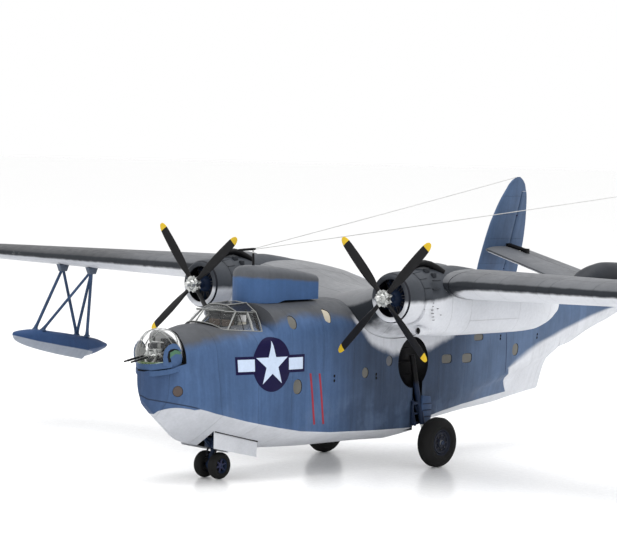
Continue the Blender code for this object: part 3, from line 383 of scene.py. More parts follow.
# Satin black for black parts, and also black standing in as painted shade in bays, pockets, mouths and gaps.
black_and_shade_paint = plain_paint("satin_black_and_shade", BLACK, 0.45, mottle=0.2)
silver_paint = plain_paint("bright_metal", SILVER, 0.3, 0.75, mottle=0.1)
steel_paint = plain_paint("gun_steel", (0.05, 0.05, 0.055), 0.38, 0.7, mottle=0.2)
green_paint = plain_paint("interior_green", GREEN, 0.6, mottle=0.2)
shade_green_paint = plain_paint("cockpit_shade", (0.022, 0.028, 0.018), 0.6, mottle=0.2)
olive_paint = plain_paint("seat_brown", (0.075, 0.05, 0.035), 0.7, mottle=0.3)
rubber_paint = plain_paint("tyre_rubber", (0.012, 0.012, 0.012), 0.78, mottle=0.25, grain=0.05)
frame_paint = plain_paint("canopy_frame", (0.22, 0.225, 0.22), 0.4, 0.25, mottle=0.1)
pane_paint = plain_paint("pane_beige", (0.125, 0.122, 0.11), 0.35, mottle=0.15)
cream_pane_paint = plain_paint("pane_cream", (0.42, 0.38, 0.30), 0.35, mottle=0.15)
dusk_pane_paint = plain_paint("pane_dusky", (0.075, 0.058, 0.052), 0.35, mottle=0.2)
recess_paint = plain_paint("recess_shade", SHADOW_GREY, 0.7)
insignia_navy = plain_paint("insignia_navy", (0.0045, 0.0030, 0.034), 0.45, mottle=0.06)
insignia_white = plain_paint("insignia_white", (0.50, 0.59, 0.735), 0.45, mottle=0.04, streak=0.03)
red_paint = plain_paint("stripe_red", RED, 0.5, mottle=0.15)
wire_paint = plain_paint("wire_pale", (0.46, 0.46, 0.45), 0.5)
grey_paint = plain_paint("mid_grey", (0.12, 0.125, 0.135), 0.5, mottle=0.15)
inside_cowl_paint = plain_paint("cowl_inside", (0.012, 0.013, 0.018), 0.5)
clear_paint = glass("clear_plastic_skin", 0.03, 0.45)
radome_paint = split_paint(
    "radome_paint", ((40, 75.4), (52, 75.6), (66, 75.0), (87, 73.4)), 0.7,
    (0.082, 0.087, 0.097), (0.049, 0.102, 0.224),
)
float_paint = split_paint(
    "float_paint",
    ((82, 41.0), (85, 40.2), (92, 38.5), (106, 35.9), (122, 33.1), (126, 32.4), (130, 29.0), (136, 28.0)),
    0.1, (0.029, 0.062, 0.148), (0.27, 0.30, 0.355),
)
fin_skin_paint = fin_paint()
strut_paint = plain_paint("strut_blue", (0.038, 0.067, 0.130), 0.5, mottle=0.35)
strut_foot_paint = plain_paint("strut_foot_grey", (0.085, 0.105, 0.140), 0.5, mottle=0.25)
wheel_hub_paint = plain_paint("wheel_hub_dark", (0.009, 0.012, 0.022), 0.4, mottle=0.3)
gear_leg_well_shade_paint = leg_paint()
leg_panel_paint = plain_paint("leg_panel_blue", (0.035, 0.065, 0.135), 0.45, mottle=0.25)
spoke_paint = plain_paint("spoke_blue", (0.05, 0.055, 0.11), 0.4, mottle=0.3)
pale_green_paint = plain_paint("rim_pale_green", (0.30, 0.40, 0.34), 0.5)
rim_green_paint = plain_paint("cheek_edge_green", (0.060, 0.135, 0.085), 0.5)
canopy_glass = glass("canopy_clear", 0.03, 0.25)
roof_pane_paint = plain_paint("roof_pane_dark", (0.02, 0.022, 0.03), 0.12)
pale_cloth_paint = plain_paint("cabin_panel_pale", (0.80, 0.80, 0.80), 0.6)
beige_paint = plain_paint("cabin_panel_beige", (0.62, 0.59, 0.50), 0.6)


# Shapes
def fair(pairs, position):
    """A smooth curve through (position, value) pairs that doesn't overshoot them."""
    if position <= pairs[0][0]:
        return pairs[0][1]
    if position >= pairs[-1][0]:
        return pairs[-1][1]
    slopes = [(b[1] - a[1]) / (b[0] - a[0]) for a, b in zip(pairs, pairs[1:])]
    tangents = [slopes[0]]
    for before, after in zip(slopes, slopes[1:]):
        tangents.append(0.0 if before * after <= 0.0 else 2.0 * before * after / (before + after))
    tangents.append(slopes[-1])
    index = max(i for i, pair in enumerate(pairs[:-1]) if pair[0] <= position)
    start, end = pairs[index], pairs[index + 1]
    width = end[0] - start[0]
    t = (position - start[0]) / width
    rest = 1.0 - t
    return (
        start[1] * (1.0 + 2.0 * t) * rest**2
        + end[1] * t**2 * (3.0 - 2.0 * t)
        + width * t * rest * (tangents[index] * rest - tangents[index + 1] * t)
    )


def row_at(table, position):
    """The other columns of a table, read fairly at a value of its first one."""
    return [fair([(row[0], row[k]) for row in table], position) for k in range(1, len(table[0]))]


def steps(low, high, count):
    """Evenly spaced values, both ends among them."""
    return [low + (high - low) * i / count for i in range(count + 1)]


def piece(name, bm, body, paints, replaced=(), sharp=32.0):
    """A piece of the model from a mesh in metres."""
    mesh = bpy.data.meshes.new(name)
    bm.to_mesh(mesh)
    bm.free()
    return finish_piece(name, mesh, body, paints, replaced, sharp)


def finish_piece(name, mesh, body, paints, replaced=(), sharp=32.0):
    obj = bpy.data.objects.new(name, mesh)
    bpy.context.scene.collection.objects.link(obj)
    for paint in paints:
        mesh.materials.append(paint)
    mesh.shade_smooth()
    mesh.set_sharp_from_angle(angle=math.radians(sharp))
    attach(obj, body)
    if replaced:
        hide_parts(*replaced)
    return obj


def gather(*parts):
    """One mesh from parts, each of them a mesh or a (mesh, number of its paint) pair."""
    whole = bmesh.new()
    for part in parts:
        bm, number = part if isinstance(part, tuple) else (part, 0)
        for face in bm.faces:
            face.material_index = number
        mesh = bpy.data.meshes.new("part")
        bm.to_mesh(mesh)
        bm.free()
        whole.from_mesh(mesh)
        bpy.data.meshes.remove(mesh)
    return whole


def loft(rings):
    """A closed mesh through rings that each have the same number of points."""
    bm = bmesh.new()
    loops = [[bm.verts.new(point) for point in ring] for ring in rings]
    for first, second in zip(loops, loops[1:]):
        for i, vertex in enumerate(first):
            j = (i + 1) % len(first)
            bm.faces.new((vertex, first[j], second[j], second[i]))
    bm.faces.new(loops[0])
    bm.faces.new(reversed(loops[-1]))
    bmesh.ops.recalc_face_normals(bm, faces=bm.faces)
    return bm


def turned(profile, centre, axis=(0, 1, 0), segments=48):
    """A profile of (radius, distance along the axis) turned about an axis through centre.

    A profile that starts or ends on the axis is capped there. Any other one closes on itself.
    """
    along = Vector(axis).normalized()
    across = along.orthogonal().normalized()
    up = along.cross(across)
    middle = at(*centre)
    bm = bmesh.new()
    rows = []
    for radius, distance in profile:
        spot = middle + along * distance * MM
        if radius < TINY:
            rows.append([bm.verts.new(spot)])
            continue
        row = []
        for i in range(segments):
            angle = 2 * math.pi * i / segments
            row.append(bm.verts.new(spot + (across * math.cos(angle) + up * math.sin(angle)) * radius * MM))
        rows.append(row)
    if profile[0][0] > TINY and profile[-1][0] > TINY:
        rows.append(rows[0])
    for first, second in zip(rows, rows[1:]):
        for i in range(segments):
            j = (i + 1) % segments
            corners = [
                first[i % len(first)], first[j % len(first)],
                second[j % len(second)], second[i % len(second)],
            ]
            corners = [v for n, v in enumerate(corners) if v not in corners[:n]]
            if len(corners) > 2:
                bm.faces.new(corners)
    bmesh.ops.recalc_face_normals(bm, faces=bm.faces)
    return bm


def hoop(inner, outer, low, high, centre, axis=(0, 1, 0), segments=6):
    """A plain ring between two radii and two distances along its axis, or a disc if inner is nought."""
    return turned(((inner, low), (outer, low), (outer, high), (inner, high)), centre, axis, segments)


def tube(points, radius, sides=12, flat=1.0, lean=None):
    """A rod along points given as (x, station, z); flat narrows it across the lean."""
    spots = [at(*point) for point in points]
    radii = radius if isinstance(radius, (tuple, list)) else [radius] * len(spots)
    rings = []
    across = None
    for i, spot in enumerate(spots):
        before, after = spots[max(i - 1, 0)], spots[min(i + 1, len(spots) - 1)]
        along = (after - before).normalized()
        if lean is not None:
            across = (Vector(lean) - along * along.dot(Vector(lean))).normalized()
        elif across is None:
            across = along.orthogonal().normalized()
        else:
            across = (across - along * along.dot(across)).normalized()
        other = along.cross(across)
        rings.append([
            spot
            + across * math.cos(2 * math.pi * k / sides) * radii[i] * MM
            + other * math.sin(2 * math.pi * k / sides) * radii[i] * flat * MM
            for k in range(sides)
        ])
    return loft(rings)


def block(low, high, bevel=0.15, segments=2):
    """A box with eased edges between two corners given as (x, station, z)."""
    bm = bmesh.new()
    bmesh.ops.create_cube(bm, size=1.0)
    first, second = at(*low), at(*high)
    size = second - first
    bmesh.ops.scale(bm, vec=[abs(v) for v in size], verts=bm.verts)
    bmesh.ops.translate(bm, vec=(first + second) / 2, verts=bm.verts)
    if bevel:
        bmesh.ops.bevel(
            bm, geom=list(bm.edges), offset=bevel * MM, segments=segments, profile=0.5, affect="EDGES"
        )
    return bm


def ball(centre, radius, segments=48, rings=24):
    bm = bmesh.new()
    bmesh.ops.create_uvsphere(bm, u_segments=segments, v_segments=rings, radius=radius * MM)
    bmesh.ops.translate(bm, vec=at(*centre), verts=bm.verts)
    return bm


def upright(outline, low, high):
    """A solid between two heights, from an outline of (x, station)."""
    return loft([[at(x, s, z) for x, s in outline] for z in (low, high)])


def whole_ring(half, station, middle=0.0):
    """A ring at a station from one half of it, (distance from the middle, z) up to the crown."""
    near = [at(middle + out, station, z) for out, z in half]
    return near + [at(middle - out, station, z) for out, z in reversed(half[:-1])]


def arch(middle, station, half_width, foot, top, count):
    """The upper half of an oval at a station, from one foot of it to the other."""
    points = []
    for i in range(count + 1):
        angle = math.pi * i / count
        points.append(at(
            middle + half_width * math.cos(angle), station, foot + (top - foot) * math.sin(angle)
        ))
    return points


def beside(centre, way, radius, shift=0.0):
    """A point at a radius from an axis that runs fore and aft, in the direction of way."""
    return (centre[0] + radius * way.x, centre[1] + shift, centre[2] + radius * way.z)


def plate(outline, near_x, far_x, bevel=0.0):
    """A plate between two x values, from an outline of (station, z)."""
    bm = bmesh.new()
    faces = [[bm.verts.new(at(x, s, z)) for s, z in outline] for x in (near_x, far_x)]
    for i in range(len(outline)):
        j = (i + 1) % len(outline)
        bm.faces.new((faces[0][i], faces[0][j], faces[1][j], faces[1][i]))
    bm.faces.new(faces[0])
    bm.faces.new(reversed(faces[1]))
    bmesh.ops.recalc_face_normals(bm, faces=bm.faces)
    if bevel:
        rim = [e for e in bm.edges if abs(e.verts[0].co.x - e.verts[1].co.x) < 1e-9]
        bmesh.ops.bevel(bm, geom=rim, offset=bevel * MM, segments=2, profile=0.5, affect="EDGES")
    return bm


def carved(name, bm, cutters, paints):
    """A mesh with solids cut out of it, whose new faces take each cutter's own paint."""
    mesh = bpy.data.meshes.new(name)
    bm.to_mesh(mesh)
    bm.free()
    for paint in paints:
        mesh.materials.append(paint)
    obj = bpy.data.objects.new(name, mesh)
    bpy.context.scene.collection.objects.link(obj)
    tools = []
    for i, (cutter, paint) in enumerate(cutters):
        tool_mesh = bpy.data.meshes.new(f"cutter_{i}")
        cutter.to_mesh(tool_mesh)
        cutter.free()
        tool_mesh.materials.append(paint)
        tool = bpy.data.objects.new(f"cutter_{i}", tool_mesh)
        bpy.context.scene.collection.objects.link(tool)
        tools.append(tool)
        modifier = obj.modifiers.new(tool.name, "BOOLEAN")
        modifier.operation = "DIFFERENCE"
        modifier.solver = "EXACT"
        modifier.material_mode = "TRANSFER"
        modifier.object = tool
    graph = bpy.context.evaluated_depsgraph_get()
    result = bpy.data.meshes.new_from_object(obj.evaluated_get(graph))
    for item in [obj] + tools:
        bpy.data.objects.remove(item, do_unlink=True)
    return result


def draped(outlines, tree, shoot, lift, depth, cell):
    """A thin solid that follows a surface, from flat outlines that shoot() aims at it.

    Lift is how far its top stands off the surface, depth is its thickness, and cell the size of its grid.
    """
    bm = bmesh.new()
    for outline in outlines:
        bm.faces.new([bm.verts.new((a, b, 0.0)) for a, b in outline])
    bmesh.ops.triangulate(bm, faces=bm.faces)
    for axis in (0, 1):
        values = [v.co[axis] for v in bm.verts]
        normal = Vector((1, 0, 0)) if axis == 0 else Vector((0, 1, 0))
        for i in range(1, int((max(values) - min(values)) / cell) + 1):
            bmesh.ops.bisect_plane(
                bm, geom=list(bm.verts) + list(bm.edges) + list(bm.faces), dist=TINY,
                plane_co=normal * (min(values) + cell * i), plane_no=normal,
            )
    top = list(bm.verts)
    faces = list(bm.faces)
    rim = [edge for edge in bm.edges if edge.is_boundary]
    feet = {}
    for vertex in top:
        origin, direction = shoot(vertex.co.x, vertex.co.y)
        spot, normal, _, _ = tree.ray_cast(origin, direction)
        if normal.dot(direction) > 0:
            normal = -normal
        feet[vertex] = bm.verts.new(spot + normal * (lift - depth) * MM)
        vertex.co = spot + normal * lift * MM
    for face in faces:
        bm.faces.new([feet[v] for v in reversed(face.verts)])
    for edge in rim:
        a, b = edge.verts
        bm.faces.new((a, b, feet[b], feet[a]))
    bmesh.ops.recalc_face_normals(bm, faces=bm.faces)
    return bm


def from_side(side):
    """Aims the points of a flat (station, z) outline at the hull from one side."""
    return lambda s, z: (at(side * 90, s, z), Vector((-side, 0, 0)))


def oval(s, z, half_s, half_z, count=28, power=2.0, lean=0.0):
    """A flat (station, z) outline, squarer the higher its power."""
    points = []
    for i in range(count):
        angle = 2 * math.pi * i / count
        a = half_s * math.copysign(abs(math.cos(angle)) ** (2 / power), math.cos(angle))
        b = half_z * math.copysign(abs(math.sin(angle)) ** (2 / power), math.sin(angle))
        points.append((
            s + a * math.cos(lean) - b * math.sin(lean), z + a * math.sin(lean) + b * math.cos(lean)
        ))
    return points


# Hull
# The hull's lines by station: heights of keel, chine and crown, and widths of chine and sides.
KEEL_Z = (
    (0.0, 32.8), (0.7, 31.4), (2.2, 29.7), (6.5, 25.7), (12.0, 21.2), (19.0, 15.9), (30.0, 12.9),
    (45.0, 11.1), (62.3, 10.0), (90.0, 9.2), (110.0, 9.2), (134.7, 8.7),
)
AFT_KEEL_Z = (
    (134.9, 12.2), (166.4, 15.3), (183.7, 17.4), (203.8, 19.3), (217.5, 21.4), (231.5, 23.3), (236.4, 23.8),
    (236.9, 31.0), (238.1, 35.4), (240.1, 37.5), (243.6, 39.6), (252.2, 42.7), (259.4, 45.6), (266.7, 48.0),
    (274.1, 49.9), (286.1, 53.4), (300.0, 56.4), (312.0, 58.6), (321.0, 59.8),
)
CHINE_X = (
    (0.0, 0.6), (0.8, 1.1), (1.8, 2.0), (4.0, 3.8), (7.7, 7.2), (13.9, 12.6), (20.0, 16.8), (26.7, 19.3),
    (50.5, 21.0), (134.7, 21.0), (138.9, 21.0), (148.8, 20.0), (164.3, 18.0), (184.9, 13.0), (206.1, 8.0),
    (230.0, 2.6), (236.4, 1.3), (236.9, 1.4), (238.1, 1.8), (240.1, 2.6), (243.6, 3.8), (254.0, 6.0),
    (291.6, 4.8), (321.0, 3.4),
)
AFT_CHINE_Z = (
    (134.9, 18.2), (148.8, 20.4), (164.3, 22.2), (184.9, 23.3), (206.1, 24.3), (236.4, 24.9), (236.9, 32.2),
    (238.1, 36.3), (243.6, 40.4), (254.0, 44.0), (266.7, 48.8), (280.0, 52.5), (291.6, 56.0), (321.0, 60.6),
)
LOW_SIDE_X = (
    (0.0, 1.1), (0.8, 1.8), (1.8, 2.7), (4.0, 4.6), (7.7, 7.9), (13.9, 13.4), (20.0, 16.6), (26.7, 18.6),
    (50.5, 20.6), (134.7, 20.9), (150.0, 20.4), (170.0, 18.8), (206.0, 15.6), (238.0, 12.4),
    (291.6, 7.6), (321.0, 5.2),
)
LOW_SIDE_RISE = (
    (0.0, 1.2), (13.9, 2.4), (50.5, 2.0), (134.7, 1.6), (150.0, 3.0), (184.9, 8.0), (206.0, 11.0),
    (225.0, 15.6), (236.4, 18.4), (236.9, 11.0), (238.1, 7.0), (240.1, 5.4), (243.6, 4.2), (254.0, 3.8),
    (291.6, 2.4), (321.0, 1.8),
)
SIDE_X = (
    (0.0, 1.9), (0.8, 2.4), (1.8, 3.2), (4.0, 5.2), (7.0, 7.9), (11.0, 10.2), (13.5, 10.8),
    (20.0, 13.8), (30.0, 17.0), (40.0, 19.2), (50.0, 20.3), (70.0, 21.0), (150.0, 21.0),
    (170.0, 20.2), (206.0, 17.4), (240.0, 14.4), (291.6, 9.2), (321.0, 6.4),
)
SIDE_Z = ((0.0, 41.2), (20.0, 46.3), (60.0, 50.0), (170.0, 50.0), (240.0, 55.0), (321.0, 64.6))
CROWN_Z = (
    (0.0, 55.0), (12.0, 56.4), (18.5, 57.6), (24.4, 58.7), (50.6, 59.6), (51.4, 66.3),
    (100.0, 66.8), (170.0, 66.8), (240.0, 68.4), (267.0, 69.6), (305.0, 70.2), (321.0, 69.6),
)
# Where the turrets and wheels are: x, station and z of their centres.
BALL = (0.0, 9.3, 48.7)
BALL_RADIUS = 9.2
TAIL_BALL = (0, 326.5, 64.6)
DORSAL_STATION = 196.0
MAIN_WHEEL = (30.3, 134.0, 9.9)
NOSE_WHEEL = (3.75, 38.0, 5.1)


def belt_seam(station):
    """Height of the dark line between the two belts under the nose turret."""
    return 42.1 + 0.22 * (station + 0.9)


def hull_ring(station):
    """The points round the hull at a station, with its chine kept sharp and its sides fair."""
    aft = station > 134.8
    keel_z = fair(AFT_KEEL_Z if aft else KEEL_Z, station)
    chine_z = fair(AFT_CHINE_Z if aft else CHINE_Z, station)
    chine_x = fair(CHINE_X, station)
    low_x = fair(LOW_SIDE_X, station)
    low_z = chine_z + fair(LOW_SIDE_RISE, station)
    side_x = fair(SIDE_X, station)
    side_z = max(fair(SIDE_Z, station), low_z + 1.5)
    crown_z = fair(CROWN_Z, station)
    roundness = 2.2 if station < 50.0 else 2.7
    keel_x = min(1.2, 0.6 * chine_x)
    flat = chine_x > low_x - 2.0
    middle_x = (chine_x + low_x) / 2 if flat else chine_x + 0.35 * (low_x - chine_x)
    middle_z = chine_z + (0.5 if flat else 0.62) * (low_z - chine_z)
    half = [(keel_x, keel_z)]
    turn = (keel_x + 0.55 * (chine_x - keel_x), keel_z + 0.52 * (chine_z - keel_z))
    for t in steps(0, 1, 8)[1:]:
        flare = 4 * t * (1 - t)
        line_x = keel_x + t * (chine_x - keel_x)
        line_z = keel_z + t * (chine_z - keel_z)
        half.append((
            line_x + flare * (turn[0] - (keel_x + chine_x) / 2),
            line_z + flare * (turn[1] - (keel_z + chine_z) / 2),
        ))
    wall = [
        (chine_z, chine_x), (middle_z, middle_x), (low_z, low_x),
        ((low_z + side_z) / 2, (low_x + side_x) / 2 + 0.25), (side_z, side_x),
    ]
    for share in steps(0, 1, 14)[1:]:
        z = chine_z + share**1.3 * (side_z - chine_z)
        half.append((fair(wall, z), z))
    for step in range(1, 15):
        angle = math.radians(90.0 * step / 14)
        half.append((
            side_x * max(math.cos(angle), 0.0) ** (2 / roundness),
            side_z + (crown_z - side_z) * math.sin(angle) ** (2 / roundness),
        ))
    half[-1] = (0.0, crown_z)
    return whole_ring(half, station)


def hull_stations():
    """Close together at the bow and the steps, and evenly spread between them."""
    made = {
        0.0, 0.4, 0.8, 1.3, 1.8, 2.8, 4.0, 5.5, 7.0, 9.0, 11.0, 12.5, 236.9, 237.5, 238.1, 239.0, 240.1,
        241.8,
    }
    for low, high, count in (
        (13.9, 50.6, 15), (51.4, 134.7, 32), (134.9, 236.4, 38), (243.6, 321, 28),
    ):
        made.update(steps(low, high, count))
    return sorted(made)


# Wing sections: x, leading edge, chord, z, and the reach above and below the chord line.
WING_SECTIONS = (
    (0.0, 95.0, 74.0, 60.5, 8.6, 9.4), (13.0, 95.6, 73.0, 60.8, 10.6, 9.5),
    (21.0, 96.6, 71.5, 62.4, 11.3, 10.9), (26.0, 97.4, 70.2, 65.0, 10.2, 9.6),
    (34.0, 98.2, 68.6, 68.8, 8.6, 7.6), (44.0, 98.9, 67.0, 72.0, 6.8, 6.3),
    (52.0, 99.2, 66.0, 74.0, 6.0, 6.0), (62.0, 99.6, 64.6, 74.8, 5.5, 5.8),
)
OUTER_TIP = (240.0, 111.0, 33.0, 75.0, 3.1, 3.0)
HALF_GAP = 0.14


def airfoil_half(t):
    shape = 0.2969 * math.sqrt(t) - 0.1260 * t - 0.3516 * t**2 + 0.2843 * t**3 - 0.1036 * t**4
    return shape / 0.1


def wing_ring(section, grow=0.0, count=22, edge=0.35):
    x, leading, chord, z, above, below = section
    fractions = [(1 - math.cos(math.pi * i / count)) / 2 for i in range(count + 1)]
    points = []
    for up, reach, order in ((1, above, fractions), (-1, below, list(reversed(fractions))[:-1])):
        for fraction in order:
            height = airfoil_half(fraction) * (reach + grow) + (edge + grow) * fraction
            points.append(at(x, leading - grow + fraction * (chord + 2 * grow), z + up * height))
    return points


def centre_sections():
    """The centre wing's sections from its starboard end to its port end."""
    spots = sorted(set(steps(0, 26, 10) + steps(26, 52, 12) + steps(52, 62, 4)))
    port = [(x, *row_at(WING_SECTIONS, x)) for x in spots]
    return [(-s[0], *s[1:]) for s in reversed(port[1:])] + port


def outer_section(x):
    root = WING_SECTIONS[-1]
    share = (x - root[0]) / (OUTER_TIP[0] - root[0])
    return (x, *(a + (b - a) * share for a, b in zip(root[1:], OUTER_TIP[1:])))


def outer_sections(side):
    made = [outer_section(x) for x in steps(62.3, 240.0, 24)]
    for out in (241.5, 243.2, 244.8, 246.2, 247.5, 248.6, 249.4, 249.85, 250.0):
        x, leading, chord, z, above, below = outer_section(out)
        share = (out - 240.0) / 10.0
        shrink = max(math.sqrt(max(1.0 - share**2.2, 0.0)), 0.3)
        middle = leading + 0.48 * chord
        made.append((x, middle - 0.48 * chord * shrink, chord * shrink, z, above * shrink, below * shrink))
    return [(side * s[0], *s[1:]) for s in made]


def wing_height(x, station, up=1):
    _, leading, chord, z, above, below = outer_section(x)
    fraction = (station - leading) / chord
    return z + up * (airfoil_half(fraction) * (above if up > 0 else below) + 0.35 * fraction)


def trench_ring(x, station, top, side, up, half_x, half_s):
    """A section of a narrow trench in the wing's skin, from under it to clear of it."""
    low, high = top - up * 0.45, top + up * 1.5
    before, after = (side * (x - half_x), station - half_s), (side * (x + half_x), station + half_s)
    return [at(*before, low), at(*after, low), at(*after, high), at(*before, high)]


def hinge_cut(first, last, fraction, side, up):
    """A trench along a hinge line of the outer wing."""
    rings = []
    for x in (first, last):
        _, leading, chord, *_ = outer_section(x)
        station = leading + fraction * chord
        rings.append(trench_ring(x, station, wing_height(x, station, up), side, up, 0, HALF_GAP))
    return loft(rings)


def chord_cut(x, first, side, up):
    """A trench along the chord, from a share of it to the trailing edge."""
    _, leading, chord, *_ = outer_section(x)
    rings = []
    for fraction in steps(first, 0.98, 5) + [1.03]:
        top = wing_height(x, leading + min(fraction, 1.0) * chord, up)
        rings.append(trench_ring(x, leading + fraction * chord, top, side, up, HALF_GAP, 0))
    return loft(rings)


PANE_PAINTS = {
    "bright": pane_paint, "green": grey_paint, "dusky": dusk_pane_paint, "cream": cream_pane_paint,
}
# Windows of the hull's side: station, z, half length, half height, roundness, lean, pane.
WINDOWS = (
    (60.2, 59.3, 2.15, 2.5, 2.2, -0.25, "bright"),
    (80.6, 61.1, 1.75, 2.55, 3.4, -0.42, "cream"),
    (61.8, 35.0, 2.35, 2.85, 2.3, 0.0, "bright"),
    (100.2, 38.5, 1.9, 2.1, 2.0, 0.0, "bright"),
    (114.4, 42.5, 1.9, 2.1, 2.0, 0.0, "green"),
    (150.1, 41.7, 3.2, 1.85, 4.0, 0.0, "bright"),
    (163.9, 41.4, 3.4, 1.95, 4.0, 0.0, "bright"),
    (171.4, 49.6, 3.2, 1.4, 4.0, 0.0, "bright"),
    (199.6, 43.2, 2.25, 2.6, 2.5, 0.0, "bright"),
    (9.6, 35.15, 1.5, 2.05, 2.0, 0.0, "dusky"),
)
# Small round marks on the hull's side: station, z.
DOTS = (
    (82.3, 38.1), (82.3, 36.3), (106.7, 37.6), (106.7, 36.1), (187.4, 49.6), (187.4, 48.3), (216.0, 48.9),
    (216.0, 47.5),
)


COCKPIT_OPENING = (
    (-8.9, 46.8), (-8.9, 33.0), (-8.4, 31.6), (-6.0, 30.1), (-3.0, 28.9), (3.0, 28.9), (6.0, 30.1),
    (8.4, 31.6), (8.9, 33.0), (8.9, 46.8),
)
NOSE_BAY = ((-11.2, 27.2), (0.0, 28.6), (11.2, 27.2), (8.9, 53.2), (-8.9, 53.2))


def hull_cutters():
    """What is cut out of the hull, each with the paint of the faces that it leaves."""
    shelf = [(-5.0, belt_seam(-5.0)), (12.9, belt_seam(12.9)), (12.9, 70.0), (-5.0, 70.0)]
    # The black faces left by the turret pockets, the shelf, the nose and main bays and the wing and tail
    # slots are painted shade.
    cutters = [
        (plate(shelf, -20, 20), black_and_shade_paint),
        (ball(BALL, BALL_RADIUS + 0.35), black_and_shade_paint),
        (ball(TAIL_BALL, 6.5, 36, 18), black_and_shade_paint),
        (upright(COCKPIT_OPENING, 48.1, 75.0), shade_green_paint),
        (upright(NOSE_BAY, 5.0, 21.9), black_and_shade_paint),
    ]
    for _, side in SIDES:
        bay = ball((0, MID_STATION, 0), 1.0, 48, 24)
        bmesh.ops.scale(bay, vec=(6.0, 9.25, 10.25), verts=bay.verts)
        bmesh.ops.translate(bay, vec=at(side * 21.5, 129.0, 41.3), verts=bay.verts)
        cutters.append((bay, black_and_shade_paint))
        cutters.append((block((side * 16.5, 128.8, 12.0), (side * 24.0, 134.8, 36.0), 0), black_and_shade_paint))
    cutters.append((loft([wing_ring(s, 0.22) for s in centre_sections()]), black_and_shade_paint))
    cutters.append((loft([tail_ring(s, 0.2) for s in tail_sections()]), black_and_shade_paint))
    return cutters


def hull_windows(tree):
    """One cutter for all recesses of the hull's windows and dots, and the panes by their kind."""
    recesses = []
    panes = {kind: [] for kind in PANE_PAINTS}
    for _, side in SIDES:
        shoot = from_side(side)
        for s, z, half_s, half_z, power, lean, kind in WINDOWS:
            outer = oval(s, z, half_s, half_z, 28, power, lean)
            inner = oval(s, z, half_s - 0.12, half_z - 0.12, 28, power, lean)
            recesses.append(draped([outer], tree, shoot, 1.0, 1.65, 9))
            panes[kind].append(draped([inner], tree, shoot, -0.2, 0.4, 9))
        for s, z in DOTS:
            recesses.append(draped([oval(s, z, 0.55, 0.6, 14)], tree, shoot, 0.6, 1.1, 9))
    return gather(*recesses), panes


def make_hull():
    """Makes the hull and gives back its uncut shape, onto which the markings are laid."""
    bm = loft([hull_ring(s) for s in hull_stations()])
    bmesh.ops.triangulate(bm, faces=bm.faces)
    tree = BVHTree.FromBMesh(bm)
    recesses, panes = hull_windows(tree)
    mesh = carved("hull_skin", bm, hull_cutters() + [(recesses, recess_paint)], [hull_skin_paint])
    finish_piece("hull_skin", mesh, "airframe", [], ("hull",), 30)
    for kind, paint in PANE_PAINTS.items():
        piece(f"window_panes_{kind}", gather(*panes[kind]), "airframe", [paint])
    return tree


STABILIZER_SLOPE = math.tan(math.radians(15.0))
# The tail plane's outline: x, leading edge, trailing edge.
TAIL_TIPS = ((0.0, 268.0, 305.0), (30.0, 270.5, 303.4), (58.1, 272.4, 302.0))


def tail_plane_z(x):
    return 65.6 + x * STABILIZER_SLOPE


def tail_sections():
    """The tail plane's sections from its starboard tip to its port tip."""
    made = []
    for x in steps(0, 56.8, 16) + [57.5, 57.9, 58.1]:
        leading, trailing = row_at(TAIL_TIPS, x)
        shrink = 1.0 if x < 57.0 else {57.5: 0.95, 57.9: 0.8, 58.1: 0.55}[x]
        made.append((x, leading, trailing - leading, tail_plane_z(x), 1.7 * shrink, 1.7 * shrink))
    return [(-s[0], *s[1:]) for s in reversed(made[1:])] + made


def tail_ring(section, grow=0.0):
    return wing_ring(section, grow, 16, 0.3)


def make_markings(tree):
    """The star and bars, the two propeller warning stripes and the door's seam, on both sides."""
    centre_s, centre_z, squeeze = 48.3, 44.0, 0.93
    disc, star_radius = 10.2, 8.85
    bar, rim, reach = 4.5, 1.08, 18.3

    def shift(points):
        return [(centre_s + a * squeeze, centre_z + b) for a, b in points]

    def oblong(near, far, half):
        return shift([(near, -half), (far, -half), (far, half), (near, half)])

    turns = [2 * math.pi * i / 72 for i in range(72)]
    star = []
    for i in range(10):
        radius = star_radius * (1.0 if i % 2 == 0 else 0.382)
        angle = math.pi / 2 + math.pi * i / 5
        star.append((radius * math.cos(angle), radius * math.sin(angle)))
    dark, light = [shift([(disc * math.cos(a), disc * math.sin(a)) for a in turns])], [shift(star)]
    for way in (-1, 1):
        dark.append(oblong(way * 8.0, way * reach, bar / 2 + rim))
        light.append(oblong(way * 9.2, way * (reach - rim), bar / 2))
    stripes = [
        [(68.2, 39.8), (69.2, 39.8), (72.4, 20.0), (71.4, 20.0)],
        [(73.3, 39.5), (74.3, 39.5), (77.5, 19.9), (76.5, 19.9)],
    ]
    seam = [[(193.65, 33.5), (193.95, 33.5), (191.95, 50.5), (191.65, 50.5)]]
    for name, side in SIDES:
        shoot = from_side(side)
        for label, outlines, lift, depth, cell, paint, slot in (
            ("insignia_field", dark[:1], 0.08, 0.1, 0.8, insignia_navy, "paint_navy"),
            ("insignia_bars", dark[1:], 0.06, 0.1, 0.8, insignia_navy, "paint_navy"),
            ("insignia_star", light, 0.13, 0.16, 0.8, insignia_white, "paint_off_white"),
            ("warning_stripes", stripes, 0.05, 0.1, 1.5, red_paint, "paint_off_white"),
            ("door_seam", seam, 0.03, 0.1, 1.5, insignia_navy, "paint_navy"),
        ):
            bm = draped(outlines, tree, shoot, lift, depth, cell)
            piece(f"{label}_{name}", bm, "airframe", [paint])


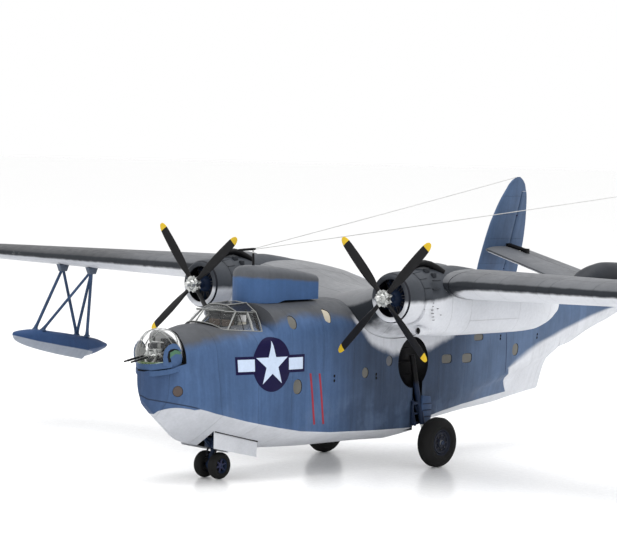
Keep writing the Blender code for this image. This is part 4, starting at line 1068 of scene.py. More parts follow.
# Wings and nacelles
def make_outer_wing(name, side):
    """An outer wing, with trenches round its flap and its aileron on both faces."""
    cutters = []
    for up in (1, -1):
        for first, last, fraction in ((66, 148, 0.78), (149.5, 236, 0.74)):
            cutters.append((hinge_cut(first, last, fraction, side, up), recess_paint))
        for x, first in ((66.0, 0.77), (148.8, 0.73), (236.0, 0.74)):
            cutters.append((chord_cut(x, first, side, up), recess_paint))
    bm = loft([wing_ring(s) for s in outer_sections(side)])
    mesh = carved(f"wing_outer_skin_{name}", bm, cutters, [wing_skin_paint])
    finish_piece(
        f"wing_outer_skin_{name}", mesh, "airframe", [], (f"wing_outer_{name}",), 30
    )


def make_hinge_brackets(name, side):
    brackets = []
    for x in (84.0, 103.0, 131.0, 166.0, 192.0, 220.0):
        _, leading, chord, *_ = outer_section(x)
        hinge = leading + 0.76 * chord
        low = wing_height(x, hinge, -1)
        outline = [
            (hinge - 3.2, wing_height(x, hinge - 3.2, -1) + 0.5), (hinge - 1.0, low - 0.7),
            (hinge + 1.6, low - 0.8), (hinge + 3.6, wing_height(x, hinge + 3.6, -1) + 0.3),
        ]
        brackets.append(plate(outline, side * (x - 0.35), side * (x + 0.35), 0.1))
    piece(f"hinge_brackets_{name}", gather(*brackets), "airframe", [grey_paint])


def make_wing_lights(name, side):
    """Two landing lights in the leading edge, and the light on the tip."""
    out = 196.0
    _, leading, _, z, *_ = outer_section(out)
    lamps = [ball((side * x, leading + 1.0, z + 0.2), 1.15, 20, 12) for x in (out, out + 4.0)]
    piece(f"landing_lights_{name}", gather(*lamps), "airframe", [clear_paint])
    tip = ball((side * 248.4, outer_section(248.4)[1] + 9.5, 75.0), 1.0, 20, 12)
    paint = red_paint if side > 0 else green_paint
    piece(f"tip_light_{name}", tip, "airframe", [paint])


def make_wings():
    piece(
        "wing_centre_skin", loft([wing_ring(s) for s in centre_sections()]), "airframe", [wing_skin_paint],
        ("wing_centre",),
    )
    for name, side in SIDES:
        make_outer_wing(name, side)
        make_hinge_brackets(name, side)
        make_wing_lights(name, side)


# The nacelle's rings: station, top, bottom, half width.
NACELLE_RINGS = (
    (88.9, 79.9, 59.6, 9.9), (91.5, 80.4, 57.6, 10.0), (96.0, 81.0, 55.6, 10.0), (104.0, 81.6, 54.8, 10.0),
    (114.0, 81.6, 54.6, 10.0), (126.0, 80.4, 54.6, 9.8), (140.0, 77.8, 54.6, 9.5), (154.0, 75.2, 54.7, 9.0),
    (164.0, 73.8, 55.2, 8.2), (171.0, 72.5, 56.8, 7.0), (177.0, 70.9, 59.2, 5.2), (181.0, 68.6, 62.4, 2.8),
)


def nacelle_ring(station, side):
    """A ring round the nacelle, round above the engine's height and squarer below it."""
    top, bottom, half_width = row_at(NACELLE_RINGS, station)
    middle = ENGINE_Z if bottom < ENGINE_Z < top else (top + bottom) / 2
    count = 48
    ring = []
    for step in range(count):
        angle = 2 * math.pi * step / count
        across, up = math.cos(angle), math.sin(angle)
        power = 2 / (2.0 if up > 0 else 2.6)
        reach = (top - middle) if up > 0 else (middle - bottom)
        ring.append(at(
            side * ENGINE_X + half_width * math.copysign(abs(across) ** power, across), station,
            middle + reach * math.copysign(abs(up) ** power, up),
        ))
    return ring


COWL_PROFILE = (
    (7.15, -3.4), (7.4, -3.75), (7.9, -3.95), (8.5, -3.9), (9.05, -3.5), (9.45, -2.8), (9.72, -1.8),
    (9.9, -0.5), (10.02, 1.2), (10.1, 3.0), (10.05, 4.4), (9.9, 5.2), (9.6, 5.2), (9.35, 3.0), (9.2, 0.0),
    (8.9, -1.2), (8.3, -2.1), (7.6, -2.7), (7.2, -3.05),
)


def make_cowl(name, side):
    """The ring round the engine, black on its inner face."""
    engine = (side * ENGINE_X, 83.2, ENGINE_Z)
    shell = turned(COWL_PROFILE, engine, segments=72)
    for face in shell.faces:
        centre = face.calc_center_median() - at(*engine)
        inside = math.hypot(centre.x, centre.z) < 9.55 * MM and centre.y > -3.3 * MM
        face.material_index = 1 if inside else 0
    piece(
        f"cowl_skin_{name}", shell, "airframe", [nacelle_skin_paint, inside_cowl_paint],
        (f"cowl_{name}",),
    )


def make_cowl_flaps(name, side):
    """The flaps behind the cowl, all round but for the lowest ones."""
    section = ((10.0, 88.2), (10.12, 88.2), (10.75, 92.0), (10.55, 92.1))
    flaps = []
    for index in range(16):
        first = 2 * math.pi * index / 16 + 0.02
        last = 2 * math.pi * (index + 1) / 16 - 0.02
        if abs(math.sin(first) + 1) <= 0.12:
            continue
        flaps.append(loft([
            [
                at(side * ENGINE_X + radius * math.cos(angle), station, ENGINE_Z + radius * math.sin(angle))
                for radius, station in section
            ]
            for angle in steps(first, last, 5)
        ]))
    piece(f"cowl_flaps_{name}", gather(*flaps), "airframe", [nacelle_skin_paint])


def make_nacelles():
    stations = steps(88.9, 96, 5) + steps(97.5, 176, 40) + [178.0, 179.5, 180.4, 181.0]
    for name, side in SIDES:
        piece(
            f"nacelle_skin_{name}", loft([nacelle_ring(s, side) for s in stations]), "airframe",
            [nacelle_skin_paint], (f"nacelle_{name}",),
        )
        make_cowl(name, side)
        make_cowl_flaps(name, side)
        make_engine(name, side)
        make_blades(name, side)
        make_hub(name, side)
        make_nacelle_top(name, side)
        make_nacelle_vents(name, side)


def make_engine(name, side):
    """The crankcase, nine finned cylinders and their push rods."""
    centre = (side * ENGINE_X, 85.2, ENGINE_Z)
    case = (
        (0.0, -6.5), (1.3, -6.5), (1.7, -5.6), (1.8, -4.6), (2.9, -3.6), (3.3, -2.6), (3.6, -1.0),
        (3.6, 2.6), (8.7, 2.6), (8.7, 3.3), (0.0, 3.3),
    )
    fin = ((0.0, -0.12), (1.25, -0.12), (1.3, 0.0), (1.25, 0.12), (0.0, 0.12))
    cylinder = ((0.0, -3.0), (1.0, -3.0), (1.0, 2.6), (0.7, 2.8), (0.0, 2.8))
    parts = [(turned(case, centre, segments=36), 0)]
    for index in range(9):
        angle = 2 * math.pi * index / 9 + math.pi / 2
        way = Vector((math.cos(angle), 0, math.sin(angle)))
        for step in range(9):
            parts.append((turned(fin, beside(centre, way, 4.1 + 0.42 * step, -0.4), way, 18), 0))
        parts.append((turned(cylinder, beside(centre, way, 5.5, -0.4), way, 16), 0))
        for lean in (-0.16, 0.16):
            rod = []
            for radius, station, turn in ((3.0, 82.6, angle + lean), (7.9, 83.4, angle + lean / 2)):
                rod.append((
                    centre[0] + radius * math.cos(turn), station, centre[2] + radius * math.sin(turn)
                ))
            parts.append((tube(rod, 0.2, 8), 1))
    piece(
        f"engine_detail_{name}", gather(*parts), "airframe", [navy_paint, steel_paint],
        (f"engine_{name}",),
    )


BLADE_ANGLES = {"port": 0.774, "starboard": 0.689}
# Blade sections: radius, half chord, half thickness, pitch.
BLADE = (
    (2.2, 0.85, 0.88, 32.0), (4.0, 0.9, 0.88, 28.0), (6.0, 1.0, 0.85, 26.0), (8.0, 1.35, 0.72, 23.0),
    (10.0, 1.6, 0.62, 20.0), (13.0, 1.8, 0.55, 17.0), (16.0, 1.9, 0.5, 15.0), (20.0, 1.9, 0.44, 13.5),
    (23.0, 1.85, 0.4, 12.0), (26.0, 1.76, 0.34, 11.0), (28.0, 1.65, 0.3, 10.0), (29.2, 1.42, 0.25, 9.5),
    (29.9, 1.15, 0.21, 9.0), (30.4, 0.85, 0.17, 9.0), (30.7, 0.5, 0.13, 9.0),
)


def make_blades(name, side):
    """Four twisted blades, turned to where the photo has them."""
    middle = at(side * ENGINE_X, PROPELLER_STATION, ENGINE_Z)
    blades = []
    for index in range(4):
        rings = []
        for radius in sorted(set([b[0] for b in BLADE] + steps(6, 28, 22))):
            half_chord, half_depth, pitch = row_at(BLADE, radius)
            turn = -math.radians(pitch)
            ring = []
            for step in range(20):
                angle = 2 * math.pi * step / 20
                u = half_chord * math.cos(angle)
                v = half_depth * math.sin(angle) * (1.0 if math.sin(angle) > 0 else 0.7)
                ring.append(Vector((
                    radius, u * math.sin(turn) + v * math.cos(turn), u * math.cos(turn) - v * math.sin(turn)
                )) * MM)
            rings.append(ring)
        bm = loft(rings)
        spin = Matrix.Rotation(-(BLADE_ANGLES[name] + index * math.pi / 2), 4, "Y")
        bmesh.ops.transform(bm, matrix=Matrix.Translation(middle) @ spin, verts=bm.verts)
        blades.append(bm)
    piece(
        f"propeller_blades_detail_{name}", gather(*blades), f"propeller_{name}", [blade_paint(side)],
        (f"propeller_blades_{name}",),
    )


def make_hub(name, side):
    """The hub, a clamp with four bolts round each blade's root, and the dome's bolts."""
    axis = (side * ENGINE_X, PROPELLER_STATION, ENGINE_Z)
    hub = (
        (0.0, -4.6), (0.55, -4.55), (0.95, -4.3), (1.15, -3.9), (1.2, -2.4), (1.6, -2.3), (1.7, -1.6),
        (1.85, -1.4), (1.95, -0.9), (1.95, 1.2), (1.7, 1.7), (1.5, 2.3), (0.0, 2.3),
    )
    clamp = (
        (0.0, -1.2), (1.1, -1.2), (1.1, -0.4), (1.32, -0.3), (1.32, 0.25), (1.1, 0.35), (1.05, 0.7),
        (0.0, 0.7),
    )
    parts = [turned(hub, axis, segments=40)]
    for index in range(4):
        angle = BLADE_ANGLES[name] + index * math.pi / 2
        way = Vector((math.cos(angle), 0, math.sin(angle)))
        parts.append(turned(clamp, beside(axis, way, 2.6), way, 24))
        across = way.cross(Vector((0, 1, 0)))
        for sign in (-1, 1):
            for shift in (-0.9, 0.9):
                x, station, z = beside(axis, way, 2.5, shift)
                bolt = (x + across.x * sign * 1.2, station, z + across.z * sign * 1.2)
                parts.append(hoop(0.0, 0.36, -0.7, 0.6, bolt, way))
    for index in range(8):
        angle = 2 * math.pi * index / 8
        bolt = (axis[0] + 1.35 * math.cos(angle), axis[1] - 2.45, axis[2] + 1.35 * math.sin(angle))
        parts.append(hoop(0.0, 0.26, -0.25, 0.3, bolt))
    piece(
        f"propeller_hub_detail_{name}", gather(*parts), f"propeller_{name}", [silver_paint],
        (f"propeller_hub_{name}",), 40,
    )


def make_nacelle_top(name, side):
    """The black stack on the nacelle's shoulder with its fairing, and the small boxes about it."""
    base = side * ENGINE_X
    stack = [
        (base + 0.1, 91.4, 80.7), (base + 0.5, 92.6, 81.8), (base + 1.2, 94.4, 82.6),
        (base + 2.1, 96.6, 82.8), (base + 3.1, 98.8, 82.3), (base + 4.4, 101.2, 81.0),
        (base + 5.7, 103.6, 79.4),
    ]
    pipe = tube(stack, [1.0, 1.2, 1.3, 1.3, 1.3, 1.25, 1.15], 18)
    fairing = loft([
        arch(base, station, half_width, 80.4, top, 6) for station, top, half_width in (
            (93.0, 80.9, 0.8), (95.0, 82.0, 2.0), (98.0, 82.6, 2.8), (102.0, 82.9, 3.0),
            (107.0, 82.7, 2.4), (112.0, 81.9, 0.8),
        )
    ])
    piece(
        f"intake_stack_{name}", gather((pipe, 0), (fairing, 1)), "airframe", [black_and_shade_paint, grey_paint],
        (f"intake_scoop_{name}",),
    )
    boxes = []
    for low, high, bevel in (
        ((3.6, 93.8, 78.8), (5.2, 96.2, 80.9), 0.25), ((6.0, 95.6, 77.4), (7.4, 97.6, 79.3), 0.2),
    ):
        for first, second in ((low[0], high[0]), (-high[0], -low[0])):
            boxes.append(block((base + first, *low[1:]), (base + second, *high[1:]), bevel))
    for sign in (-1, 1):
        for low_z, high_z in ((76.4, 76.9), (73.2, 73.7)):
            boxes.append(block((base + sign * 9.3, 92.6, low_z), (base + sign * 10.35, 96.6, high_z), 0.12))
    piece(f"nacelle_boxes_{name}", gather(*boxes), "airframe", [dark_paint])


def make_nacelle_vents(name, side):
    """The short slots on the nacelle's sides, and the oil cooler's duct under its outer shoulder with painted
    shade in its mouth.
    """
    base = side * ENGINE_X
    slots = []
    for sign in (-1, 1):
        x = base + sign * 10.05
        for station, z, length in (
            (92.6, 68.2, 1.3), (92.4, 66.9, 1.3), (92.4, 65.6, 1.3), (92.6, 64.3, 1.3), (92.9, 63.0, 1.3),
            (93.2, 61.8, 1.3), (95.6, 66.0, 0.9), (97.4, 63.6, 0.8),
        ):
            low = (x - 0.12, station - length / 2, z - 0.11)
            slots.append(block(low, (x + 0.14, station + length / 2, z + 0.11), 0.04))
    piece(f"nacelle_vents_{name}", gather(*slots), "airframe", [recess_paint])
    mouth = (base + side * 5.5, 89.4, 57.6)
    duct = (
        (1.35, 0.0), (1.75, 0.0), (1.8, 1.5), (1.7, 4.2), (1.2, 6.4), (0.5, 7.2), (0.4, 6.8), (1.2, 3.5),
        (1.35, 1.0),
    )
    # The black disc inside the mouth is painted shade.
    mouth_shade = ((0.0, 0.9), (1.3, 0.9), (1.2, 1.5), (0.0, 1.5))
    piece(
        f"oil_duct_{name}",
        gather((turned(duct, mouth, segments=28), 0), (turned(mouth_shade, mouth, segments=28), 1)),
        "airframe", [white_paint, black_and_shade_paint],
    )


# Top of the hull, and the tail
def make_radome():
    """The fairing behind the cockpit: a round front, upright sides and a flat back, down to the hull."""
    table = (
        (50.7, 1.3, 74.0), (51.2, 3.3, 76.2), (52.0, 4.8, 78.2), (53.5, 6.6, 79.6), (55.5, 7.9, 80.1),
        (58.8, 8.8, 80.2), (66.0, 8.9, 79.7), (75.6, 8.7, 78.6), (86.0, 8.3, 76.9),
    )
    foot = ((50.7, 66.0), (62.0, 66.0), (67.0, 67.0), (86.0, 67.0))
    rings = []
    for station in [50.7, 50.8, 50.95, 51.2, 51.55, 52.0, 52.7, 53.5, 54.5] + steps(55.5, 86.0, 22):
        half_width, top = row_at(table, station)
        shoulder = 67.1 + 0.68 * (top - 67.1)
        half = [(half_width, z) for z in steps(fair(foot, station), shoulder, 6)]
        for step in range(1, 13):
            angle = math.radians(90 * step / 12)
            half.append((
                half_width * math.cos(angle) ** 0.7, shoulder + (top - shoulder) * math.sin(angle) ** 0.7
            ))
        half[-1] = (0.0, top)
        rings.append(whole_ring(half, station))
    piece("radome_skin", loft(rings), "airframe", [radome_paint], ("radome",), 50)


def make_mast():
    """The mast on the fairing, the probe on its top, and the two wires from it to the fins."""
    probe = [(0, 49.2, 86.0), (0, 49.6, 86.02), (0, 53.0, 86.15), (0, 58.0, 86.35), (0, 58.8, 86.38)]
    parts = [
        (tube([(0, 57.9, 79.8), (0, 57.8, 83.0), (0, 57.7, 84.8)], [0.55, 0.48, 0.42]), 0),
        (tube([(0, 57.7, 84.7), (0, 57.65, 86.0)], 0.36), 1),
        (tube(probe, [0.28, 0.42, 0.5, 0.5, 0.34]), 0),
    ]
    piece("mast_detail", gather(*parts), "airframe", [black_and_shade_paint, wire_paint], ("mast",))
    wires = []
    for _, side in SIDES:
        start = (0, 58.6, 86.6) if side < 0 else (0, 58.2, 86.2)
        end = (side * (fin_x(114.9) - 0.2), 287.6, 114.9)
        points = []
        for t in steps(0, 1, 24):
            points.append([a + (b - a) * t for a, b in zip(start, end)])
            points[-1][2] += -0.2 * 4 * t * (1 - t)
        wires.append(tube(points, 0.15, 8))
    piece("antenna_wires", gather(*wires), "airframe", [wire_paint])


def make_tail_plane():
    cuts = []
    for up in (1, -1):
        for side in (1, -1):
            cuts.append((loft([
                [
                    at(side * x, s, tail_plane_z(x) + up * h)
                    for s, h in ((290.9, 0.85), (291.15, 0.85), (291.15, 3.0), (290.9, 3.0))
                ]
                for x in (7.5, 54.5)
            ]), recess_paint))
    bm = loft([tail_ring(s) for s in tail_sections()])
    mesh = carved("stabilizer_skin", bm, cuts, [tail_plane_paint])
    finish_piece("stabilizer_skin", mesh, "airframe", [], ("stabilizer",), 30)


def make_tail_fairing():
    table = (
        (264.0, 1.6, 71.0), (264.6, 2.6, 71.5), (266.0, 3.6, 72.2), (270.0, 5.4, 74.6), (277.0, 6.4, 76.8),
        (285.0, 6.6, 77.9), (295.0, 6.2, 77.6), (303.0, 4.6, 75.4), (308.0, 2.0, 72.2),
    )
    rings = []
    for station in [264.0, 264.3] + steps(265, 307, 28) + [307.6, 308.0]:
        half_width, top = row_at(table, station)
        rings.append(arch(0.0, station, half_width, 70.0, top, 18))
    piece(
        "tail_fairing_skin", loft(rings), "airframe", [dark_paint], ("tail_fairing",)
    )


def make_tail_brackets():
    """A rod above each half of the tail plane, with its end blocks and a bright plate."""
    inner, outer = 47.5, 57.0
    parts = []
    for _, side in SIDES:
        low, high = tail_plane_z(inner) + 2.2, tail_plane_z(outer) + 2.2
        parts += [
            (tube([(side * inner, 289.4, low + 0.4), (side * outer, 288.0, high + 0.2)], 0.95, 8), 0),
            (block((side * 46.6, 288.2, 78.6), (side * 48.6, 290.8, 81.9), 0.2), 0),
            (block((side * 56.0, 286.8, 80.4), (side * 57.6, 289.4, 84.0), 0.2), 0),
            (block((side * 50.0, 288.3, 80.3), (side * 53.6, 289.1, 80.9), 0.1), 1),
        ]
    piece("tail_plane_brackets", gather(*parts), "airframe", [black_and_shade_paint, silver_paint])


# Height, leading edge and trailing edge stations of fin and rudder.
FIN_OUTLINE = (
    (63.0, 276.5, 298.5), (66.5, 273.2, 301.0), (71.5, 271.7, 301.7), (83.2, 273.0, 302.0),
    (93.0, 274.9, 301.1), (98.2, 276.7, 300.1), (103.8, 279.0, 298.8), (108.4, 281.6, 297.2),
    (109.0, 282.0, 296.7), (111.4, 283.4, 295.4), (113.2, 285.0, 293.7), (114.5, 287.0, 291.8),
    (115.1, 288.6, 290.6),
)
HORN_Z = 108.4


def fin_x(z):
    return 62.3 - (z - 71.5) * math.tan(math.radians(11.7))


def hinge_line(z):
    return 290.2 + (z - 72.0) * 0.09


def fin_rings(side, shares, rudder):
    """Rings up the fin to its hinge line and over its horn, or up the rudder behind it."""
    levels = steps(63.0, 64.5, 3) + steps(65.5, HORN_Z - 0.08, 30)
    if not rudder:
        levels += [
            HORN_Z, HORN_Z + 0.06, 109.0, 110.0, 111.0, 112.0, 113.0, 113.7, 114.2, 114.6, 114.9, 115.1
        ]
    rings = []
    for z in levels:
        leading, trailing = row_at(FIN_OUTLINE, z)
        first = hinge_line(z) + 0.3 if rudder else leading
        last = trailing if rudder or z > HORN_Z else hinge_line(z)
        pinch = max(min(1.0, (z - 62.4) / 1.4, (115.5 - z) / 1.6), 0.35)
        half = []
        for share in shares:
            s = first + (last - first) * share
            whole = min(max((s - leading) / (trailing - leading), 0.0), 1.0)
            thick = (1.35 * airfoil_half(whole) * min(1.0, (trailing - leading) / 20.0) + 0.18) * pinch
            if (rudder and share < 0.05) or (not rudder and share > 0.97 and z <= HORN_Z):
                thick *= 0.78
            half.append((s, thick))
        middle = side * fin_x(z)
        rings.append(
            [at(middle + t, s, z) for s, t in half] + [at(middle - t, s, z) for s, t in reversed(half)]
        )
    return rings


def make_fins():
    front = [(1 - math.cos(math.pi * i / 24)) / 2 for i in range(0, 24, 2)] + [0.985, 1.0]
    back = (0.0, 0.06, 0.3, 0.6, 0.85, 1.0)
    for name, side in SIDES:
        for part, shares, is_rudder in (("fin", front, False), ("rudder", back, True)):
            piece(
                f"{part}_skin_{name}", loft(fin_rings(side, shares, is_rudder)), "airframe",
                [fin_skin_paint], (f"{part}_{name}",), 34,
            )
        hinge = []
        for first, last in ((64.0, 96.5), (97.5, HORN_Z - 0.6)):
            run = [(side * fin_x(z), hinge_line(z) + 0.15, z) for z in steps(first, last, 6)]
            hinge.append(tube(run, 0.34, 8))
        for z in (72.0, 97.0):
            middle, station = side * fin_x(z), hinge_line(z)
            hinge.append(block(
                (middle - 0.95, station - 0.6, z - 0.35), (middle + 0.95, station + 0.9, z + 0.35), 0.1
            ))
        piece(f"rudder_hinge_{name}", gather(*hinge), "airframe", [insignia_navy])


# Floats
FLOAT_X = 168.0
# A float's deck, keel, half width and chine, by station, before and behind its step.
FLOAT_BOW = (
    (82.0, 42.4, 40.0, 0.8, 41.2), (82.6, 42.6, 39.2, 1.5, 41.0), (85.0, 43.0, 37.8, 2.6, 40.4),
    (92.0, 43.4, 35.4, 4.4, 38.8), (106.0, 41.8, 32.0, 5.2, 36.2), (122.0, 39.4, 28.9, 5.0, 33.4),
)
FLOAT_STERN = ((122.4, 39.4, 29.8, 4.9, 33.6), (130.0, 37.8, 31.4, 3.8, 34.2), (136.0, 35.6, 33.4, 1.6, 34.6))


def float_ring(station, side):
    deck, keel, half_width, chine = row_at(FLOAT_BOW if station < 122.2 else FLOAT_STERN, station)
    half = [(0.25, keel)]
    for t in steps(0, 1, 4)[1:]:
        half.append((0.25 + t * (half_width - 0.25), keel + (chine - keel) * t**1.25))
    for step in range(1, 9):
        angle = math.radians(90 * step / 8)
        half.append((half_width * math.cos(angle) ** 0.8, chine + (deck - chine) * math.sin(angle) ** 0.9))
    half[-1] = (0.0, deck)
    return whole_ring(half, station, side * FLOAT_X)


def make_float_struts(name, side):
    """Five struts between a float and the wing, with round feet below and pads above."""
    outer, inner = (side * 171.0, 112.5, 70.0), (side * 152.4, 113.0, 69.6)
    feet = (
        (side * 170.0, 96.0, 43.2), (side * 166.2, 97.2, 43.1), (side * 170.0, 120.6, 39.9),
        (side * 165.8, 123.0, 39.5),
    )
    parts = []
    for foot, head in ((0, outer), (2, outer), (1, inner), (3, inner), (2, inner)):
        low, high = Vector(feet[foot]), Vector(head)
        points = [tuple(low.lerp(high, t)) for t in (0.0, 0.05, 0.09, 0.5, 0.92, 1.0)]
        parts.append((tube(points, [1.15, 0.95, 0.82, 0.8, 0.75, 0.7], 14, 0.62, (0, 1, 0)), 0))
    for foot in feet:
        cap = ((0.0, -0.4), (1.5, -0.4), (1.2, 0.3), (0.6, 0.6), (0.0, 0.6))
        parts.append((turned(cap, foot, (0, 0, 1), 20), 0))
    for x, station, z in (outer, inner):
        top = wing_height(abs(x), station, -1) + 0.2
        pad = [(station - 3.0, top), (station - 1.6, z - 1.6), (station + 1.6, z - 1.6), (station + 3.0, top)]
        parts.append((plate(pad, x - 1.2, x + 1.2, 0.25), 1))
    piece(
        f"float_struts_detail_{name}", gather(*parts), "airframe", [strut_paint, strut_foot_paint],
        (f"float_struts_{name}",), 40,
    )


def make_floats():
    stations = [82.0, 82.25, 82.6, 83.2, 84.0] + steps(85, 122, 20) + steps(122.4, 135, 9) + [135.6, 136.0]
    for name, side in SIDES:
        piece(
            f"float_skin_{name}", loft([float_ring(s, side) for s in stations]), "airframe", [float_paint],
            (f"float_{name}",),
        )
        make_float_struts(name, side)


# Landing gear
def make_main_wheel(name, side):
    """A tyre with four grooves round its tread, and its hub with bolts on both faces."""
    half = 3.3
    tyre = [
        (5.2, -half + 0.75), (5.6, -half + 0.35), (6.3, -half + 0.05), (6.5, -half + 0.12),
        (6.7, -half + 0.02), (7.4, -half), (8.1, -half + 0.18), (8.8, -half + 0.55), (9.35, -half + 1.1),
        (9.7, -half + 1.75),
    ]
    other_side = [(r, -a) for r, a in reversed(tyre)]
    for groove in (-1.05, -0.35, 0.35, 1.05):
        tyre += [
            (9.88, groove - 0.16), (9.78, groove - 0.08), (9.78, groove + 0.08), (9.88, groove + 0.16),
        ]
    hub = [
        (1.1, -2.3), (2.0, -2.35), (2.2, -1.9), (3.4, -1.85), (3.6, -2.2), (4.3, -2.3), (4.5, -2.0),
        (5.1, -2.6), (5.35, -2.65),
    ]
    hub += [(r, -a) for r, a in reversed(hub)]
    centre = (side * MAIN_WHEEL[0], *MAIN_WHEEL[1:])
    body = f"main_wheel_{name}"
    piece(
        f"main_tyre_detail_{name}", turned(tyre + other_side, centre, (1, 0, 0), 96), body, [rubber_paint],
        (f"main_tyre_{name}",),
    )
    parts = [(turned(hub, centre, (1, 0, 0), 64), 0)]
    for index in range(8):
        angle = 2 * math.pi * index / 8
        for face in (-1, 1):
            bolt = (
                centre[0] + face * 2.1, centre[1] + 2.8 * math.cos(angle), centre[2] + 2.8 * math.sin(angle)
            )
            parts.append((hoop(0.0, 0.3, -0.3, 0.3, bolt, (1, 0, 0)), 1))
    piece(
        f"main_hub_detail_{name}", gather(*parts), body, [wheel_hub_paint, steel_paint],
        (f"main_hub_{name}",),
    )


def make_main_leg(name, side):
    """The leg and its axle, side stay, ladder-like link, dark panel, and the ribs of its bay."""
    _, station, height = MAIN_WHEEL
    cap = ((0.0, 0.0), (1.0, 0.0), (0.9, 0.5), (0.4, 0.7), (0.0, 0.7))
    panel = [(132.6, 28.0), (137.6, 27.4), (138.4, 24.0), (138.0, 17.6), (134.6, 14.8), (132.2, 17.0)]
    x = side
    parts = [
        (tube([(x * 18.6, 131.0, 44.0), (x * 20.8, 132.0, 30.0), (x * 23.2, 133.2, 16.5)], 1.15, 20), 0),
        (tube([(x * 23.0, 133.1, 17.5), (x * 24.4, 133.8, 8.8)], [0.85, 0.85], 20), 2),
        (tube([(x * 23.2, station, height), (x * 25.4, station, height)], 1.7, 24), 0),
        (tube([(x * 24.6, station, height), (x * 33.4, station, height)], [0.85, 0.85], 24), 0),
        (turned(cap, (x * 32.5, station, height), (x, 0, 0), 20), 2),
        (tube([(x * 17.2, 130.4, 30.5), (x * 20.0, 131.6, 24.4), (x * 23.0, 133.0, 18.0)], 0.6, 14), 0),
        (tube([(x * 19.5, 129.6, 27.0), (x * 22.6, 129.4, 16.0)], 0.55, 12), 0),
        (block((x * 21.3, 127.9, 24.4), (x * 22.4, 132.4, 25.6), 0.2), 0),
        (block((x * 21.3, 127.9, 20.4), (x * 22.4, 132.4, 21.2), 0.2), 0),
        (block((x * 21.3, 127.9, 16.4), (x * 22.4, 132.0, 17.4), 0.2), 0),
        (block((x * 21.3, 127.9, 16.0), (x * 22.2, 128.9, 26.0), 0.2), 0),
        (plate(panel, x * 22.6, x * 23.4, 0.15), 1),
        (block((x * 22.3, 134.2, 16.4), (x * 22.8, 134.8, 27.4), 0.15), 0),
        (block((x * 22.3, 136.4, 17.8), (x * 22.8, 137.0, 26.8), 0.15), 0),
    ]
    for z in (19.4, 22.0, 24.6):
        parts.append((tube([(x * 23.5, 132.9, z), (x * 23.5, 137.9, z)], 0.22, 8), 0))
    piece(
        f"main_leg_detail_{name}", gather(*parts), "airframe",
        [gear_leg_well_shade_paint, leg_panel_paint, silver_paint], (f"main_leg_{name}",), 40,
    )
    # Black ribs in the bay: painted shade.
    ribs = [tube([(x * 16.4, 121.6, z), (x * 16.4, 136.4, z)], 0.35, 8) for z in (36.0, 41.3, 46.6)]
    piece(f"main_bay_ribs_{name}", gather(*ribs), "airframe", [black_and_shade_paint])


def make_main_gear():
    for name, side in SIDES:
        make_main_wheel(name, side)
        make_main_leg(name, side)


def slab(corners, side, near, far):
    """A thin leaning plate whose faces lie near and far inward of four corners."""
    return loft([[at(side * (x - inward), s, z) for x, s, z in corners] for inward in (near, far)])


def make_nose_wheels():
    """The twin tyres, and one piece with both hubs and the axle between them."""
    half = 1.9
    out, station, height = NOSE_WHEEL
    tyre = [
        (2.85, -half + 0.45), (3.1, -half + 0.12), (3.6, -half), (4.15, -half + 0.12), (4.6, -half + 0.42),
        (4.92, -half + 0.85), (5.06, -0.55), (5.1, -0.3),
    ]
    tyre += [(r, -a) for r, a in reversed(tyre)]
    for name, side in SIDES:
        piece(
            f"nose_tyre_detail_{name}", turned(tyre, (side * out, station, height), (1, 0, 0), 72),
            "nose_wheels", [rubber_paint], (f"nose_tyre_{name}",),
        )
    parts = [(tube([(-5.2, station, height), (5.2, station, height)], 0.62, 20), 0)]
    rim = ((2.45, 0.9), (2.9, 1.45), (2.95, 1.5), (2.95, -1.5), (2.9, -1.45), (2.45, -0.9))
    cap = ((0.0, -0.5), (0.95, -0.5), (0.95, 0.5), (0.6, 0.85), (0.0, 0.9))
    for side in (1, -1):
        parts.append((turned(rim, (side * out, station, height), (1, 0, 0), 48), 0))
        for index in range(6):
            angle = 2 * math.pi * index / 6 + 0.3
            way = Vector((0, math.cos(angle), math.sin(angle)))
            start = (side * 4.35, station + 0.6 * way.y, height + 0.6 * way.z)
            end = (side * 4.5, station + 2.6 * way.y, height + 2.6 * way.z)
            parts.append((tube([start, end], [0.5, 0.36], 10, 0.7, (1, 0, 0)), 1))
        parts.append((turned(cap, (side * 4.3, station, height), (side, 0, 0), 24), 1))
        parts.append((hoop(0.0, 2.5, -0.3, 0.1, (side * 3.6, station, height), (side, 0, 0), 32), 2))
    piece(
        "nose_hub_detail", gather(*parts), "nose_wheels", [navy_paint, spoke_paint, black_and_shade_paint],
        ("nose_wheel_hubs",), 40,
    )


def make_nose_leg():
    parts = [
        (tube([(0, 38.2, 8.6), (0, 39.0, 15.0), (0, 39.6, 21.4)], [1.0, 1.15, 1.15], 20), 0),
        (hoop(1.0, 2.0, -1.2, 1.2, (0, *NOSE_WHEEL[1:]), (1, 0, 0), 28), 0),
        (block((-1.0, 36.9, 5.9), (1.0, 39.1, 9.4), 0.3), 0),
        (tube([(0, 38.6, 11.0), (0, 35.0, 14.2), (0, 31.0, 17.5)], 0.75, 14), 0),
        (tube([(-3.4, 38.8, 12.6), (3.4, 38.8, 12.6)], 0.7, 14), 0),
        (block((-3.0, 36.6, 11.6), (3.0, 40.2, 15.4), 0.35), 0),
        (tube([(2.4, 38.4, 12.0), (2.0, 36.6, 8.4)], 0.35, 10), 1),
        (tube([(-2.4, 38.4, 12.0), (-2.0, 36.6, 8.4)], 0.35, 10), 1),
    ]
    piece(
        "nose_leg_detail", gather(*parts), "airframe", [navy_paint, steel_paint],
        ("nose_leg",), 40,
    )


